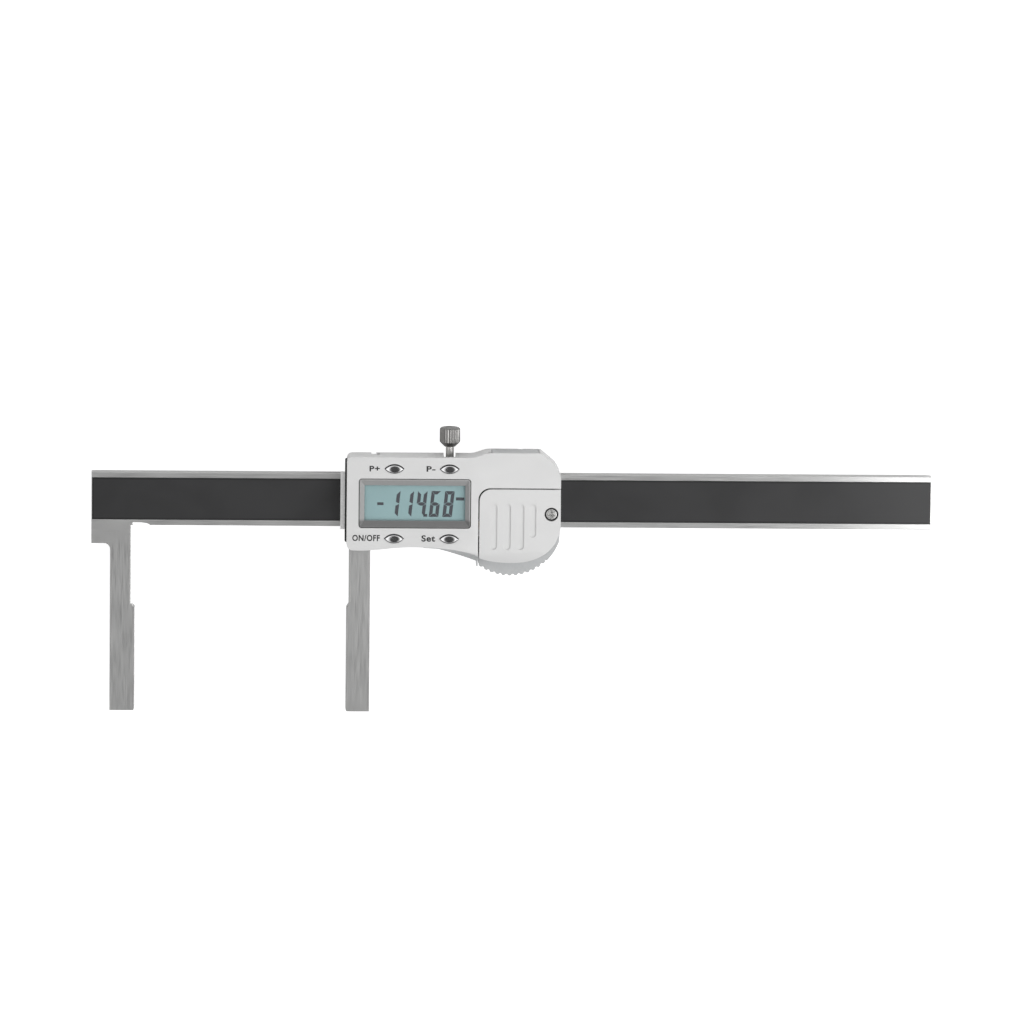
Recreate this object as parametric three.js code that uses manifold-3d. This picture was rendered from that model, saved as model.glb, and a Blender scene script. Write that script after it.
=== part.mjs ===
// A digital caliper: a steel beam with a fixed jaw, and a slider that carries the sliding jaw, the display
// case, four push buttons, a lock screw and a battery compartment.
//
// Millimetres. X runs along the beam, away from the fixed jaw. The jaws point along -Y and the display faces
// +Z. The beam's centre line is X = 0, Y = 0 and the rear plate's underside is z = 0, until the whole group
// is shifted at the end so that the origin is the centre of the base.
import * as THREE from "three";
import { mergeVertices } from "three/addons/utils/BufferGeometryUtils.js";
import Module from "manifold-3d";

const wasm = await Module();
wasm.setup();

// ---- driving dimensions ----

const BEAM_LENGTH = 252;
const BEAM_WIDTH = 16;
const BEAM_BACK = 0.95;
const BEAM_FACE = 4.75;
const SCALE_WIDTH = 12.7;
const SCALE_POCKET_DEPTH = 0.75;
const SLIDING_GAP = 0.12; // between the beam and whatever runs along it

const JAW_TIP = -64.5;
const PAD_TOP = -33;
const FIXED_JAW = { left: -120.4, right: -113.55, pad: 0.65, rootBottom: -13.6, rootFillet: 1.8 };
const SLIDING_JAW = { left: -48.7, right: -42.3, pad: 0.7 };

const PLATE_THICKNESS = 0.8;
const FRAME = { left: -49.7, right: 13.4, halfWidth: 12.4, back: 0.85, front: 6.4, channelTop: 9.2 };
const FRAME_CORNER = { x: 11, y: 9.2 }; // where the cut across its upper right corner ends

const CASE = { left: -50.1, right: 14.55, top: 14.3, portTop: 15.7 };
const CASE_BOTTOM = { low: -13.95, waist: -12.92, chin: -17.7 };
const CASE_FACE = 13;
const CASE_SEAT = 6.5;
const SKIRT_BOTTOM = 3.4;
const WALL = 1.3;
const FACE_THICKNESS = 1.5;
const CASE_INSIDE = CASE_FACE - FACE_THICKNESS;

const PCB = { back: 6.5, front: 7.3 };
const BEZEL = { x: -29.2, y: 0.35, width: 33.2, height: 14.6 };
const DISPLAY = { width: 30, height: 10.5 };

const BUTTON = { length: 5.7, height: 2.7, top: 13.55 };
const BUTTONS = {
  plus: [-35.4, 10.85],
  minus: [-18.9, 10.85],
  on_off: [-35.4, -10.3],
  set: [-18.9, -10.3],
};

const CELL = { x: 0.3, y: -5.9, radius: 10, thickness: 3.2, back: 7.95 };
const DOOR = { left: -10, top: 4.95, corner: 3.6, gap: 0.12 };
const DOOR_SCREW = { x: 11.7, y: -2.7 };
const DOOR_BEVEL = { y: -14.3, slope: 0.22 };
// The x of each grip groove, and its lower end.
const GRIP_GROOVES = [[-5.55, -13.45], [-1.5, -13.45], [2.5, -13.45], [6.1, -9.7]];
const GROOVE = { width: 2.1, top: 0.3, depth: 0.6 };

const THUMB = { x: -0.5, y: -6.75, radius: 15.7, from: 240, to: 319, plainTo: 340 };
const SERRATION = { teeth: 12, depth: 0.5 };
const KNOB = { x: -18.7, z: 3.35, radius: 3.05, knurls: 24, outer: 22.05, shoulder: 17.4 };
const KNOB_NECK = { y: 16.25, radius: 1.7 };
const LOCK_SHAFT_RADIUS = 1.2;
const LOCK_PAD = { inner: 9.4, outer: 10.6 };

const CASE_SCREWS = [[-46.4, 10.8], [9.8, 10.5], [-46.2, -10.3], [11.5, -10.9]];
const CASE_SCREW_RADIUS = 0.8;
const GIB_SCREW_X = { left: -41.5, right: 2.5 };
const GIB_SCREW_RADIUS = 0.8;
const GIB_Z = (BEAM_BACK + BEAM_FACE) / 2;
const GIB_NOTCH = { width: 1.4, leftHeight: 2.9, rightHeight: 0.9 }; // open at the case's lower edge
const TOP_SLOT = { left: -40.55, right: -39.65, low: 4.7, high: 7.5 }; // blind, beside the left notch
const PORT = { left: -6.3, right: 8, low: 4.6, high: 11.8 };
const PORT_NAIL_NOTCH = { left: -7.4, low: 9.8, high: 12.2 };
const END_STOP = { left: 110, right: 124, halfWidth: 6, screws: [113.5, 120.5] };

// ---- solids: three.js makes each shape, manifold-3d joins and cuts them ----

function solid(geometry) {
  const bare = new THREE.BufferGeometry();
  bare.setAttribute("position", geometry.getAttribute("position"));
  bare.setIndex(geometry.index);
  const merged = mergeVertices(bare, 1e-4);
  const triVerts = new Uint32Array(merged.index.array);
  const mesh = new wasm.Mesh({ numProp: 3, vertProperties: merged.attributes.position.array, triVerts });
  return new wasm.Manifold(mesh);
}

function geometryOf(body) {
  const mesh = body.getMesh();
  const geometry = new THREE.BufferGeometry();
  const positions = new Float32Array(mesh.vertProperties);
  geometry.setAttribute("position", new THREE.BufferAttribute(positions, 3));
  geometry.setIndex(new THREE.BufferAttribute(new Uint32Array(mesh.triVerts), 1));
  geometry.computeVertexNormals();
  return geometry;
}

const join = (first, ...others) => others.reduce((whole, other) => whole.add(other), first);
const cut = (first, ...tools) => tools.reduce((left, tool) => left.subtract(tool), first);

function box([x0, x1], [y0, y1], [z0, z1]) {
  const geometry = new THREE.BoxGeometry(x1 - x0, y1 - y0, z1 - z0);
  return solid(geometry.translate((x0 + x1) / 2, (y0 + y1) / 2, (z0 + z1) / 2));
}

function extrude(shape, [z0, z1], curveSegments = 7) {
  const options = { depth: z1 - z0, bevelEnabled: false, curveSegments };
  return solid(new THREE.ExtrudeGeometry(shape, options).translate(0, 0, z0));
}

// A turned piece about an axis along Z: each profile point is [radius, z], and both ends lie on the axis.
function turned(profile, x, y, segments = 24) {
  const points = profile.map(([radius, z]) => new THREE.Vector2(radius, z));
  return solid(new THREE.LatheGeometry(points, segments).rotateX(Math.PI / 2).translate(x, y, 0));
}

// The same about an axis along Y, with profile points [radius, y].
function turnedAlongY(profile, x, z, segments = 24) {
  const points = profile.map(([radius, y]) => new THREE.Vector2(radius, y));
  return solid(new THREE.LatheGeometry(points, segments).translate(x, 0, z));
}

const cylinderProfile = (radius, [low, high]) => [[0, low], [radius, low], [radius, high], [0, high]];
const cylinder = (x, y, radius, range) => turned(cylinderProfile(radius, range), x, y);
const cylinderAlongY = (x, z, radius, range) => turnedAlongY(cylinderProfile(radius, range), x, z);

function polygon(points) {
  return new THREE.Shape(points.map(([x, y]) => new THREE.Vector2(x, y)));
}

function roundedRectangle([x0, x1], [y0, y1], radius) {
  const shape = new THREE.Shape();
  shape.absarc(x0 + radius, y0 + radius, radius, Math.PI, 1.5 * Math.PI);
  shape.absarc(x1 - radius, y0 + radius, radius, 1.5 * Math.PI, 2 * Math.PI);
  shape.absarc(x1 - radius, y1 - radius, radius, 0, 0.5 * Math.PI);
  shape.absarc(x0 + radius, y1 - radius, radius, 0.5 * Math.PI, Math.PI);
  return shape;
}

const centred = (middle, size) => [middle - size / 2, middle + size / 2];

// ---- beam and fixed jaw ----

function beamOutline() {
  const end = BEAM_LENGTH / 2;
  const half = BEAM_WIDTH / 2;
  const { left, right, pad, rootBottom, rootFillet } = FIXED_JAW;
  const reliefDepth = 0.8;
  const shape = new THREE.Shape();
  shape.moveTo(-end, rootBottom);
  shape.absarc(left - rootFillet, rootBottom - rootFillet, rootFillet, Math.PI / 2, 0, true);
  shape.lineTo(left, JAW_TIP);
  shape.lineTo(right + pad - 0.3, JAW_TIP);
  shape.lineTo(right + pad, JAW_TIP + 0.6);
  shape.lineTo(right + pad, PAD_TOP);
  shape.lineTo(right, PAD_TOP + 0.4);
  shape.lineTo(right, -half + reliefDepth);
  shape.lineTo(right + 3.2, -half + reliefDepth);
  shape.lineTo(right + 4.7, -half + 0.45);
  shape.lineTo(right + 5.1, -half);
  shape.lineTo(end, -half);
  shape.lineTo(end, half);
  shape.lineTo(-end, half);
  return shape;
}

function beam() {
  const end = BEAM_LENGTH / 2;
  const bar = extrude(beamOutline(), [BEAM_BACK, BEAM_FACE], 6);
  const pocketHeight = [BEAM_FACE - SCALE_POCKET_DEPTH, BEAM_FACE + 1];
  const pocket = box([-end - 1, end + 1], centred(0, SCALE_WIDTH), pocketHeight);
  const screwHoles = END_STOP.screws.map((x) => cylinder(x, 0, 0.9, [BEAM_BACK - 1, BEAM_BACK + 2.6]));
  return cut(bar, pocket, ...screwHoles);
}

function scaleStrip(back, front) {
  return box(centred(0, BEAM_LENGTH - 0.4), centred(0, SCALE_WIDTH - 0.1), [back, front]);
}

// ---- end stop ----

function endStopPlate() {
  const outline = roundedRectangle([END_STOP.left, END_STOP.right], centred(0, 2 * END_STOP.halfWidth), 1);
  const plate = extrude(outline, [0.1, 0.9], 4);
  const holes = END_STOP.screws.map((x) => countersunk(x, 0, 0.2, 1, 0.15));
  return cut(plate, ...holes);
}

// A countersunk screw's shape, pointing up from its head: head face at z, thread end at zEnd, all grown by
// clearance.
function countersunk(x, y, z, zEnd, clearance) {
  const shank = CASE_SCREW_RADIUS + clearance;
  const head = shank + 0.75;
  const low = clearance ? z - 1 : z;
  const profile = [[0, low], [head, low], [head, z + 0.05], [shank, z + 0.65], [shank, zEnd], [0, zEnd]];
  return turned(profile, x, y, 16);
}

// A cross recess in a screw head that faces -Z or +Z, from z0 to z1.
function crossRecess(x, y, size, [z0, z1]) {
  const thin = 0.4;
  return join(
    box(centred(x, size), centred(y, thin), [z0, z1]),
    box(centred(x, thin), centred(y, size), [z0, z1]),
  );
}

function countersunkScrew(x, y, z, zEnd) {
  return cut(countersunk(x, y, z, zEnd, 0), crossRecess(x, y, 1.7, [z - 1, z + 0.35]));
}

// ---- slider frame and sliding jaw ----

function slidingJawOutline() {
  const { left, right, pad } = SLIDING_JAW;
  return polygon([
    [left, -BEAM_WIDTH / 2 - 1],
    [left, PAD_TOP + 1.2],
    [left - pad, PAD_TOP],
    [left - pad, JAW_TIP + 0.6],
    [left - pad + 0.3, JAW_TIP],
    [right, JAW_TIP],
    [right, -BEAM_WIDTH / 2 - 1],
  ]);
}

// The frame seen from the front, drawn in by inset. Its upper right corner is cut off, inside the case's.
function frameOutline(inset) {
  const left = FRAME.left + inset;
  const right = FRAME.right - inset;
  const half = FRAME.halfWidth - inset;
  const corner = 1;
  const shape = new THREE.Shape();
  shape.absarc(left + corner, -half + corner, corner, Math.PI, 1.5 * Math.PI);
  shape.absarc(right - corner, -half + corner, corner, 1.5 * Math.PI, 2 * Math.PI);
  shape.lineTo(right, FRAME_CORNER.y - inset / 2);
  shape.lineTo(FRAME_CORNER.x - inset / 2, half);
  shape.absarc(left + corner, half - corner, corner, 0.5 * Math.PI, Math.PI);
  return shape;
}

function sliderFrame() {
  const { left, right, halfWidth, back, front, channelTop } = FRAME;
  const block = extrude(frameOutline(0), [back, front], 4);
  const jaw = extrude(slidingJawOutline(), [BEAM_BACK, BEAM_FACE]);
  const channelWidth = [-BEAM_WIDTH / 2 - SLIDING_GAP, channelTop];
  const channel = box([left - 1, right + 1], channelWidth, [back - 1, BEAM_FACE + SLIDING_GAP]);
  const sensorWindow = box([-29, 9], centred(0, 12), [0, front + 1]);
  const topWall = [channelTop - 1, halfWidth + 1];
  const lockHole = cylinderAlongY(KNOB.x, KNOB.z, LOCK_SHAFT_RADIUS + 0.1, topWall);
  const gibHoles = Object.values(GIB_SCREW_X).map((x) => {
    return cylinderAlongY(x, GIB_Z, GIB_SCREW_RADIUS + 0.1, topWall);
  });
  const screwHoles = CASE_SCREWS.map(([x, y]) => {
    return cylinder(x, y, CASE_SCREW_RADIUS + 0.1, [back - 1, front + 1]);
  });
  return cut(join(block, jaw), channel, sensorWindow, lockHole, ...gibHoles, ...screwHoles);
}

function rearPlate() {
  const plate = extrude(frameOutline(0.2), [0, PLATE_THICKNESS], 4);
  return cut(plate, ...CASE_SCREWS.map(([x, y]) => countersunk(x, y, 0.1, 2, 0.12)));
}

function gibStrip() {
  const sides = [BEAM_WIDTH / 2 + SLIDING_GAP, FRAME.channelTop - 0.1];
  return box([FRAME.left + 0.6, FRAME.right - 0.6], sides, [1.1, 4.6]);
}

function gibScrew(x) {
  const body = cylinderAlongY(x, GIB_Z, GIB_SCREW_RADIUS, [FRAME.channelTop + 0.05, FRAME.halfWidth - 0.2]);
  const slot = box(centred(x, 2), [FRAME.halfWidth - 0.7, FRAME.halfWidth], centred(GIB_Z, 0.35));
  return cut(body, slot);
}

// The lip just over the beam's face at one end of the frame.
function dustWiper(range) {
  return box(range, [-8.6, 8.7], [BEAM_FACE + SLIDING_GAP, FRAME.front - 0.05]);
}

// The arc that the thumb pushes: serrated below, plain where it rises beside the case's right end.
// Each serration is a flat-topped trapezium on the arc.
function thumbRest() {
  const { x, y, radius, from, to, plainTo } = THUMB;
  const { teeth, depth } = SERRATION;
  const top = -FRAME.halfWidth - 0.1;
  const onArc = (degrees, r) => {
    const angle = THREE.MathUtils.degToRad(degrees);
    return [x + r * Math.cos(angle), y + r * Math.sin(angle)];
  };
  const pitch = (to - from) / teeth;
  const profile = [[0, radius - depth], [0.25, radius], [0.6, radius], [0.85, radius - depth]];
  const points = [[DOOR.left + 0.1, top], [DOOR.left + 0.1, -18.6]];
  for (let tooth = 0; tooth < teeth; tooth++) {
    points.push(...profile.map(([along, r]) => onArc(from + (tooth + along) * pitch, r)));
  }
  const plainSteps = 5;
  for (let step = 0; step <= plainSteps; step++) {
    points.push(onArc(to + (step / plainSteps) * (plainTo - to), radius));
  }
  points.push([CASE.right - 0.05, -9], [FRAME.right + 0.15, -9], [FRAME.right + 0.15, top]);
  return extrude(polygon(points), [BEAM_BACK, FRAME.front]);
}

// ---- case ----

// The case seen from the front, drawn in by inset on every side.
function caseOutline(inset) {
  const left = CASE.left + inset;
  const right = CASE.right - inset;
  const top = CASE.top - inset;
  const portTop = CASE.portTop - inset;
  const low = CASE_BOTTOM.low + inset;
  const waist = CASE_BOTTOM.waist + inset;
  const chin = CASE_BOTTOM.chin + inset;
  const shape = new THREE.Shape();
  shape.moveTo(left, top - 0.8);
  shape.lineTo(left, low + 2.2);
  shape.quadraticCurveTo(left, low, left + 2.2, low);
  shape.bezierCurveTo(-40.5, low - 0.25, -36, waist, -30, waist);
  shape.bezierCurveTo(-23.5, waist, -15.5, chin + 3.8, -10.75, chin + 1.8);
  shape.bezierCurveTo(-7.5, chin + 0.4, -4, chin, -0.1, chin);
  shape.bezierCurveTo(7.3 - inset / 2, chin - 0.1, 13.6 - inset, chin + 3.5, right, -6.5);
  shape.lineTo(right, 7.5);
  shape.quadraticCurveTo(14.1 - inset, 10.3 - inset / 3, 12.5 - inset, 12.3 - inset / 3);
  shape.lineTo(8.45 - inset / 2, portTop);
  shape.lineTo(-6.4 + inset / 2, portTop);
  shape.bezierCurveTo(-9.2, portTop, -10.2, top, -12.8, top);
  shape.lineTo(left + 0.8, top);
  shape.quadraticCurveTo(left, top, left, top - 0.8);
  return shape;
}

// The lip that stands out under the case's lower edge and ends in a small toe beside the thumb rest.
function lowerLip() {
  const shape = new THREE.Shape();
  shape.moveTo(-23.5, -12.9);
  shape.quadraticCurveTo(-17.5, -15.3, -11.3, -17.5);
  shape.lineTo(-10.75, -17.8);
  shape.lineTo(-10.45, -19.1);
  shape.lineTo(-10.15, -19.1);
  shape.lineTo(-10.15, -12.8);
  return extrude(shape, [CASE_SEAT, 9.5]);
}

// The part of the case's face that the battery door takes up, grown by gap.
function doorZone(gap) {
  return roundedRectangle([DOOR.left - gap, 60], [-60, DOOR.top + gap], DOOR.corner);
}

// Slopes the lower edge of the face towards its chin.
function chinBevel() {
  const drop = new THREE.BoxGeometry(80, 20, 4).translate(0, -10, 2);
  drop.rotateX(DOOR_BEVEL.slope).translate(0, DOOR_BEVEL.y, CASE_FACE);
  return solid(drop);
}

// A lens: two equal arcs that meet in points at both ends.
function lens([x, y], length, height) {
  const half = length / 2;
  const rise = height / 2;
  const radius = (half * half + rise * rise) / (2 * rise);
  const angle = Math.asin(half / radius);
  const shape = new THREE.Shape();
  shape.absarc(x, y + radius - rise, radius, 1.5 * Math.PI - angle, 1.5 * Math.PI + angle);
  shape.absarc(x, y - radius + rise, radius, 0.5 * Math.PI - angle, 0.5 * Math.PI + angle);
  return shape;
}

function screwPosts() {
  const casePosts = CASE_SCREWS.map(([x, y]) => cylinder(x, y, 1.7, [PCB.front + 0.1, CASE_INSIDE + 0.1]));
  const doorPost = cylinder(DOOR_SCREW.x, DOOR_SCREW.y, 1.9, [PCB.front + 0.1, CASE_INSIDE - 0.02]);
  return join(...casePosts, doorPost);
}

function postHoles() {
  const caseHoles = CASE_SCREWS.map(([x, y]) => cylinder(x, y, 0.9, [SKIRT_BOTTOM, 10.6]));
  const doorHole = cylinder(DOOR_SCREW.x, DOOR_SCREW.y, 0.9, [PCB.front, CASE_FACE]);
  return join(...caseHoles, doorHole);
}

// The room that the frame and the board take up inside the case's open underside.
function frameRoom() {
  const clearance = 0.3;
  const height = [0, CASE_SEAT];
  return join(
    extrude(frameOutline(-clearance), height, 4),
    box([-60, 0], [-30, FRAME.halfWidth + clearance], height),
    box([-1, 30], [-30, FRAME_CORNER.y], height),
  );
}

// The gib screws' notches and the blind slot in the case's top side, and the port cover's finger nail notch.
function topSideNotches() {
  const { width, leftHeight, rightHeight } = GIB_NOTCH;
  const reach = [12, 17];
  const bottom = SKIRT_BOTTOM;
  return join(
    box(centred(GIB_SCREW_X.left, width), reach, [bottom - 1, bottom + leftHeight]),
    box(centred(GIB_SCREW_X.right, width), reach, [bottom - 1, bottom + rightHeight]),
    box([TOP_SLOT.left, TOP_SLOT.right], [CASE.top - 1, 17], [TOP_SLOT.low, TOP_SLOT.high]),
    box([PORT_NAIL_NOTCH.left, PORT.left + 0.1], [14.9, 17], [PORT_NAIL_NOTCH.low, PORT_NAIL_NOTCH.high]),
  );
}

function frontCover() {
  const deck = 10.7; // underside of the ledge that the battery door rests on
  const floor = PCB.front + 0.1; // below this the hollow is only as wide as the frame and the board
  const outside = extrude(caseOutline(0), [SKIRT_BOTTOM, CASE_FACE]);
  const upperHollow = extrude(caseOutline(WALL), [floor, CASE_INSIDE]);
  const lowerHollow = extrude(caseOutline(WALL), [SKIRT_BOTTOM - 1, floor]).intersect(
    box([-60, 30], [-12.3, FRAME.halfWidth + 0.3], [0, floor]),
  );
  const ledge = extrude(caseOutline(WALL / 2), [deck, CASE_INSIDE]).intersect(
    extrude(doorZone(WALL), [deck, CASE_INSIDE]),
  );
  const skin = cut(join(outside, lowerLip()), upperHollow, lowerHollow);
  const shell = join(skin, ledge, screwPosts().intersect(outside));
  const bezelHole = box(centred(BEZEL.x, BEZEL.width + 0.1), centred(BEZEL.y, BEZEL.height + 0.1), [11, 14]);
  const buttonHoles = Object.values(BUTTONS).map((at) =>
    extrude(lens(at, BUTTON.length + 0.4, BUTTON.height + 0.3), [11, 14], 6),
  );
  const flangePockets = Object.values(BUTTONS).map((at) =>
    extrude(lens(at, BUTTON.length + 1.8, BUTTON.height + 1), [PCB.front, CASE_INSIDE], 3),
  );
  const doorRecess = extrude(doorZone(DOOR.gap), [CASE_INSIDE, CASE_FACE + 1]);
  const batteryWell = cylinder(CELL.x, CELL.y, CELL.radius + 0.35, [PCB.front, CASE_FACE]);
  const contactSlot = box([-13, -6], [-9.3, -4.7], [PCB.front, CASE_INSIDE]);
  const knobNotch = box(centred(KNOB.x - 0.1, 3.6), [FRAME.halfWidth, CASE.top + 1], [0, 11.2]);
  const portHole = box([PORT.left, PORT.right], [12, 17], [PORT.low, PORT.high]);
  return cut(
    shell, frameRoom(), bezelHole, ...buttonHoles, ...flangePockets, doorRecess, batteryWell, contactSlot,
    postHoles(), knobNotch, topSideNotches(), portHole, chinBevel(),
  );
}

// ---- display ----

function lcdBezel() {
  const outer = extrude(
    roundedRectangle(centred(BEZEL.x, BEZEL.width), centred(BEZEL.y, BEZEL.height), 0.7),
    [CASE_INSIDE - 0.3, CASE_FACE], 4,
  );
  const slope = new THREE.CylinderGeometry(Math.SQRT1_2, Math.SQRT1_2 * 0.93, 1, 4, 1);
  slope.rotateY(Math.PI / 4).rotateX(Math.PI / 2);
  slope.scale(DISPLAY.width + 2.2, DISPLAY.height + 0.8, 1.1).translate(BEZEL.x, BEZEL.y, CASE_FACE - 0.5);
  const rabbet = box(centred(BEZEL.x, 31.8), centred(BEZEL.y, 12.6), [CASE_INSIDE - 1, 12]);
  return cut(outer, solid(slope), rabbet);
}

function displayWindow() {
  return box(centred(BEZEL.x, 31.6), centred(BEZEL.y, 12.4), [11.35, 11.95]);
}

function lcdPanel() {
  return box(centred(BEZEL.x, 31.6), centred(BEZEL.y, 12.4), [9.75, 11.1]);
}

function zebraStrip(y) {
  return box(centred(BEZEL.x, 29), centred(y, 1.2), [PCB.front + 0.05, 9.7]);
}

// ---- electronics ----

function mainPcb() {
  const outline = polygon([
    [-47.2, -8.2], [-44.1, -11.3], [9.4, -11.3], [12.2, -8.5],
    [12.2, 8], [8.2, 12], [-44.1, 12], [-47.2, 8.9],
  ]);
  const board = extrude(outline, [PCB.back, PCB.front]);
  return cut(board, ...CASE_SCREWS.map(([x, y]) => cylinder(x, y, 1.1, [PCB.back - 1, PCB.front + 1])));
}

function sensorBoard() {
  return box([-28.6, 8.6], centred(0, 11.2), [BEAM_FACE + SLIDING_GAP, PCB.back - 0.05]);
}

function controllerChip() {
  return turned([[0, 7.35], [3.4, 7.35], [3.2, 7.9], [2.2, 8.4], [0, 8.6]], -30, 0);
}

function tactSwitch([x, y]) {
  const base = box(centred(x, 3.4), centred(y, 2.6), [PCB.front + 0.05, 9]);
  return join(base, cylinder(x, y, 0.8, [8.9, 9.7]));
}

function batteryCell() {
  const { x, y, radius, thickness, back } = CELL;
  const front = back + thickness;
  const rim = back + 0.4;
  const profile = [
    [0, back], [8.4, back], [8.8, rim],
    [radius, rim], [radius, front - 0.2], [radius - 0.2, front], [0, front],
  ];
  return turned(profile, x, y, 40);
}

function negativeContact() {
  const plate = cylinder(CELL.x, CELL.y, 4, [PCB.front + 0.05, PCB.front + 0.35]);
  const spring = cylinder(CELL.x, CELL.y, 1.2, [PCB.front + 0.3, CELL.back - 0.03]);
  return join(plate, spring);
}

// An upright leg from the board, and a finger that lies on the cell's can.
function positiveContact() {
  const leg = box([-12.4, -12.1], [-9, -5], [PCB.front + 0.05, 11.4]);
  const finger = box([-12.4, -6.5], [-9, -5], [11.2, 11.4]);
  return join(leg, finger);
}

// ---- battery door ----

function batteryDoor() {
  const plate = extrude(caseOutline(0.05), [CASE_INSIDE + 0.02, CASE_FACE]).intersect(
    extrude(doorZone(0), [0, 20]),
  );
  const grooves = GRIP_GROOVES.map(([x, low]) =>
    extrude(
      roundedRectangle(centred(x, GROOVE.width), [low, GROOVE.top], GROOVE.width / 2 - 0.01),
      [CASE_FACE - GROOVE.depth, CASE_FACE + 1], 4,
    ),
  );
  const counterbore = cylinder(DOOR_SCREW.x, DOOR_SCREW.y, 2, [12.1, 14]);
  const screwHole = cylinder(DOOR_SCREW.x, DOOR_SCREW.y, 0.95, [11, 14]);
  return cut(plate, ...grooves, counterbore, screwHole, chinBevel());
}

function batteryDoorScrew() {
  const { x, y } = DOOR_SCREW;
  const profile = [[0, 9], [0.8, 9], [0.8, 12.13], [1.65, 12.13], [1.65, 12.6], [1.2, 12.9], [0, 12.95]];
  return cut(turned(profile, x, y), crossRecess(x, y, 2, [12.45, 14]));
}

// ---- buttons ----

function pushButton(at) {
  const key = extrude(lens(at, BUTTON.length, BUTTON.height), [11.2, BUTTON.top], 6);
  const flange = extrude(lens(at, BUTTON.length + 1.2, BUTTON.height + 0.7), [10.7, CASE_INSIDE - 0.05], 3);
  return join(key, flange, cylinder(at[0], at[1], 0.9, [10.2, 10.8]));
}

// ---- lock screw ----

// The knob's rim is a ring of straight knurls; below it a cone leads down to the threaded shaft.
function lockScrew() {
  const { x, z, radius, knurls, outer, shoulder } = KNOB;
  const rim = [];
  for (let tooth = 0; tooth < 2 * knurls; tooth++) {
    const angle = (tooth * Math.PI) / knurls;
    const r = tooth % 2 ? radius - 0.22 : radius;
    rim.push([r * Math.cos(angle), r * Math.sin(angle)]);
  }
  const length = outer - shoulder - 0.3;
  const grip = new THREE.ExtrudeGeometry(polygon(rim), { depth: length, bevelEnabled: false });
  grip.rotateX(-Math.PI / 2).translate(x, shoulder, z);
  const tip = LOCK_PAD.outer + 0.05;
  const core = turnedAlongY(
    [
      [0, tip], [LOCK_SHAFT_RADIUS, tip], [LOCK_SHAFT_RADIUS, KNOB_NECK.y], [KNOB_NECK.radius, KNOB_NECK.y],
      [radius - 0.3, shoulder], [radius - 0.25, outer - 0.3], [radius - 0.6, outer], [0, outer],
    ],
    x, z,
  );
  return join(solid(grip), core);
}

function lockPad() {
  return cylinderAlongY(KNOB.x, KNOB.z, LOCK_SHAFT_RADIUS - 0.05, [LOCK_PAD.inner, LOCK_PAD.outer]);
}

// ---- data port ----

function dataPortSocket() {
  return box([-4.6, 6.4], [9.2, 11.9], [PCB.front + 0.05, 9.6]);
}

function dataPortCover() {
  const gap = 0.12;
  const height = [PORT.low + gap, PORT.high - gap];
  const lid = box([PORT.left + gap, PORT.right - gap], [14.45, CASE.portTop - 0.1], height);
  const tongue = box([-4, 5.8], [12.6, 14.5], [6, 9.4]);
  return join(lid, tongue);
}

// ---- materials ----

function finish(color, metalness, roughness) {
  return new THREE.MeshStandardMaterial({ color, metalness, roughness });
}

const STEEL = finish(0xb4b4b2, 0.9, 0.35);
const SILVER = finish(0xd8d8d6, 0.3, 0.5);
const CHROME = finish(0xc8c8c8, 1, 0.15);
const BRASS = finish(0xb99a55, 0.9, 0.4);
const DARK_FILM = finish(0x39393a, 0, 0.5);
const BOARD = finish(0x2c5a3c, 0, 0.6);
const BLACK = finish(0x202020, 0, 0.6);
const BEZEL_GREY = finish(0x989c9c, 0.2, 0.5);
const GLASS = finish(0xd6dee0, 0, 0.05);
const LCD = finish(0x92adb0, 0, 0.3);

// ---- assembly ----

const caliper = new THREE.Group();
const slider = new THREE.Group();
caliper.add(slider);

function place(group, name, body, material) {
  const mesh = new THREE.Mesh(geometryOf(body), material);
  mesh.name = name;
  group.add(mesh);
}

const pocketFloor = BEAM_FACE - SCALE_POCKET_DEPTH;
place(caliper, "beam", beam(), STEEL);
place(caliper, "scale_pcb", scaleStrip(pocketFloor + 0.05, BEAM_FACE - 0.2), BOARD);
place(caliper, "scale_film", scaleStrip(BEAM_FACE - 0.18, BEAM_FACE - 0.03), DARK_FILM);
place(caliper, "end_stop_plate", endStopPlate(), STEEL);
END_STOP.screws.forEach((x, i) => {
  place(caliper, `end_stop_screw_${i + 1}`, countersunkScrew(x, 0, 0.2, BEAM_BACK + 2.4), STEEL);
});

place(slider, "slider_frame", sliderFrame(), STEEL);
place(slider, "rear_plate", rearPlate(), STEEL);
CASE_SCREWS.forEach(([x, y], i) => {
  place(slider, `case_screw_${i + 1}`, countersunkScrew(x, y, 0.1, 10.4), STEEL);
});
place(slider, "gib_strip", gibStrip(), BRASS);
place(slider, "gib_screw_left", gibScrew(GIB_SCREW_X.left), STEEL);
place(slider, "gib_screw_right", gibScrew(GIB_SCREW_X.right), STEEL);
place(slider, "dust_wiper_left", dustWiper([-51.4, FRAME.left - 0.05]), SILVER);
place(slider, "dust_wiper_right", dustWiper([FRAME.right + 0.05, CASE.right - 0.1]), SILVER);
place(slider, "thumb_rest", thumbRest(), SILVER);

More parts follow.
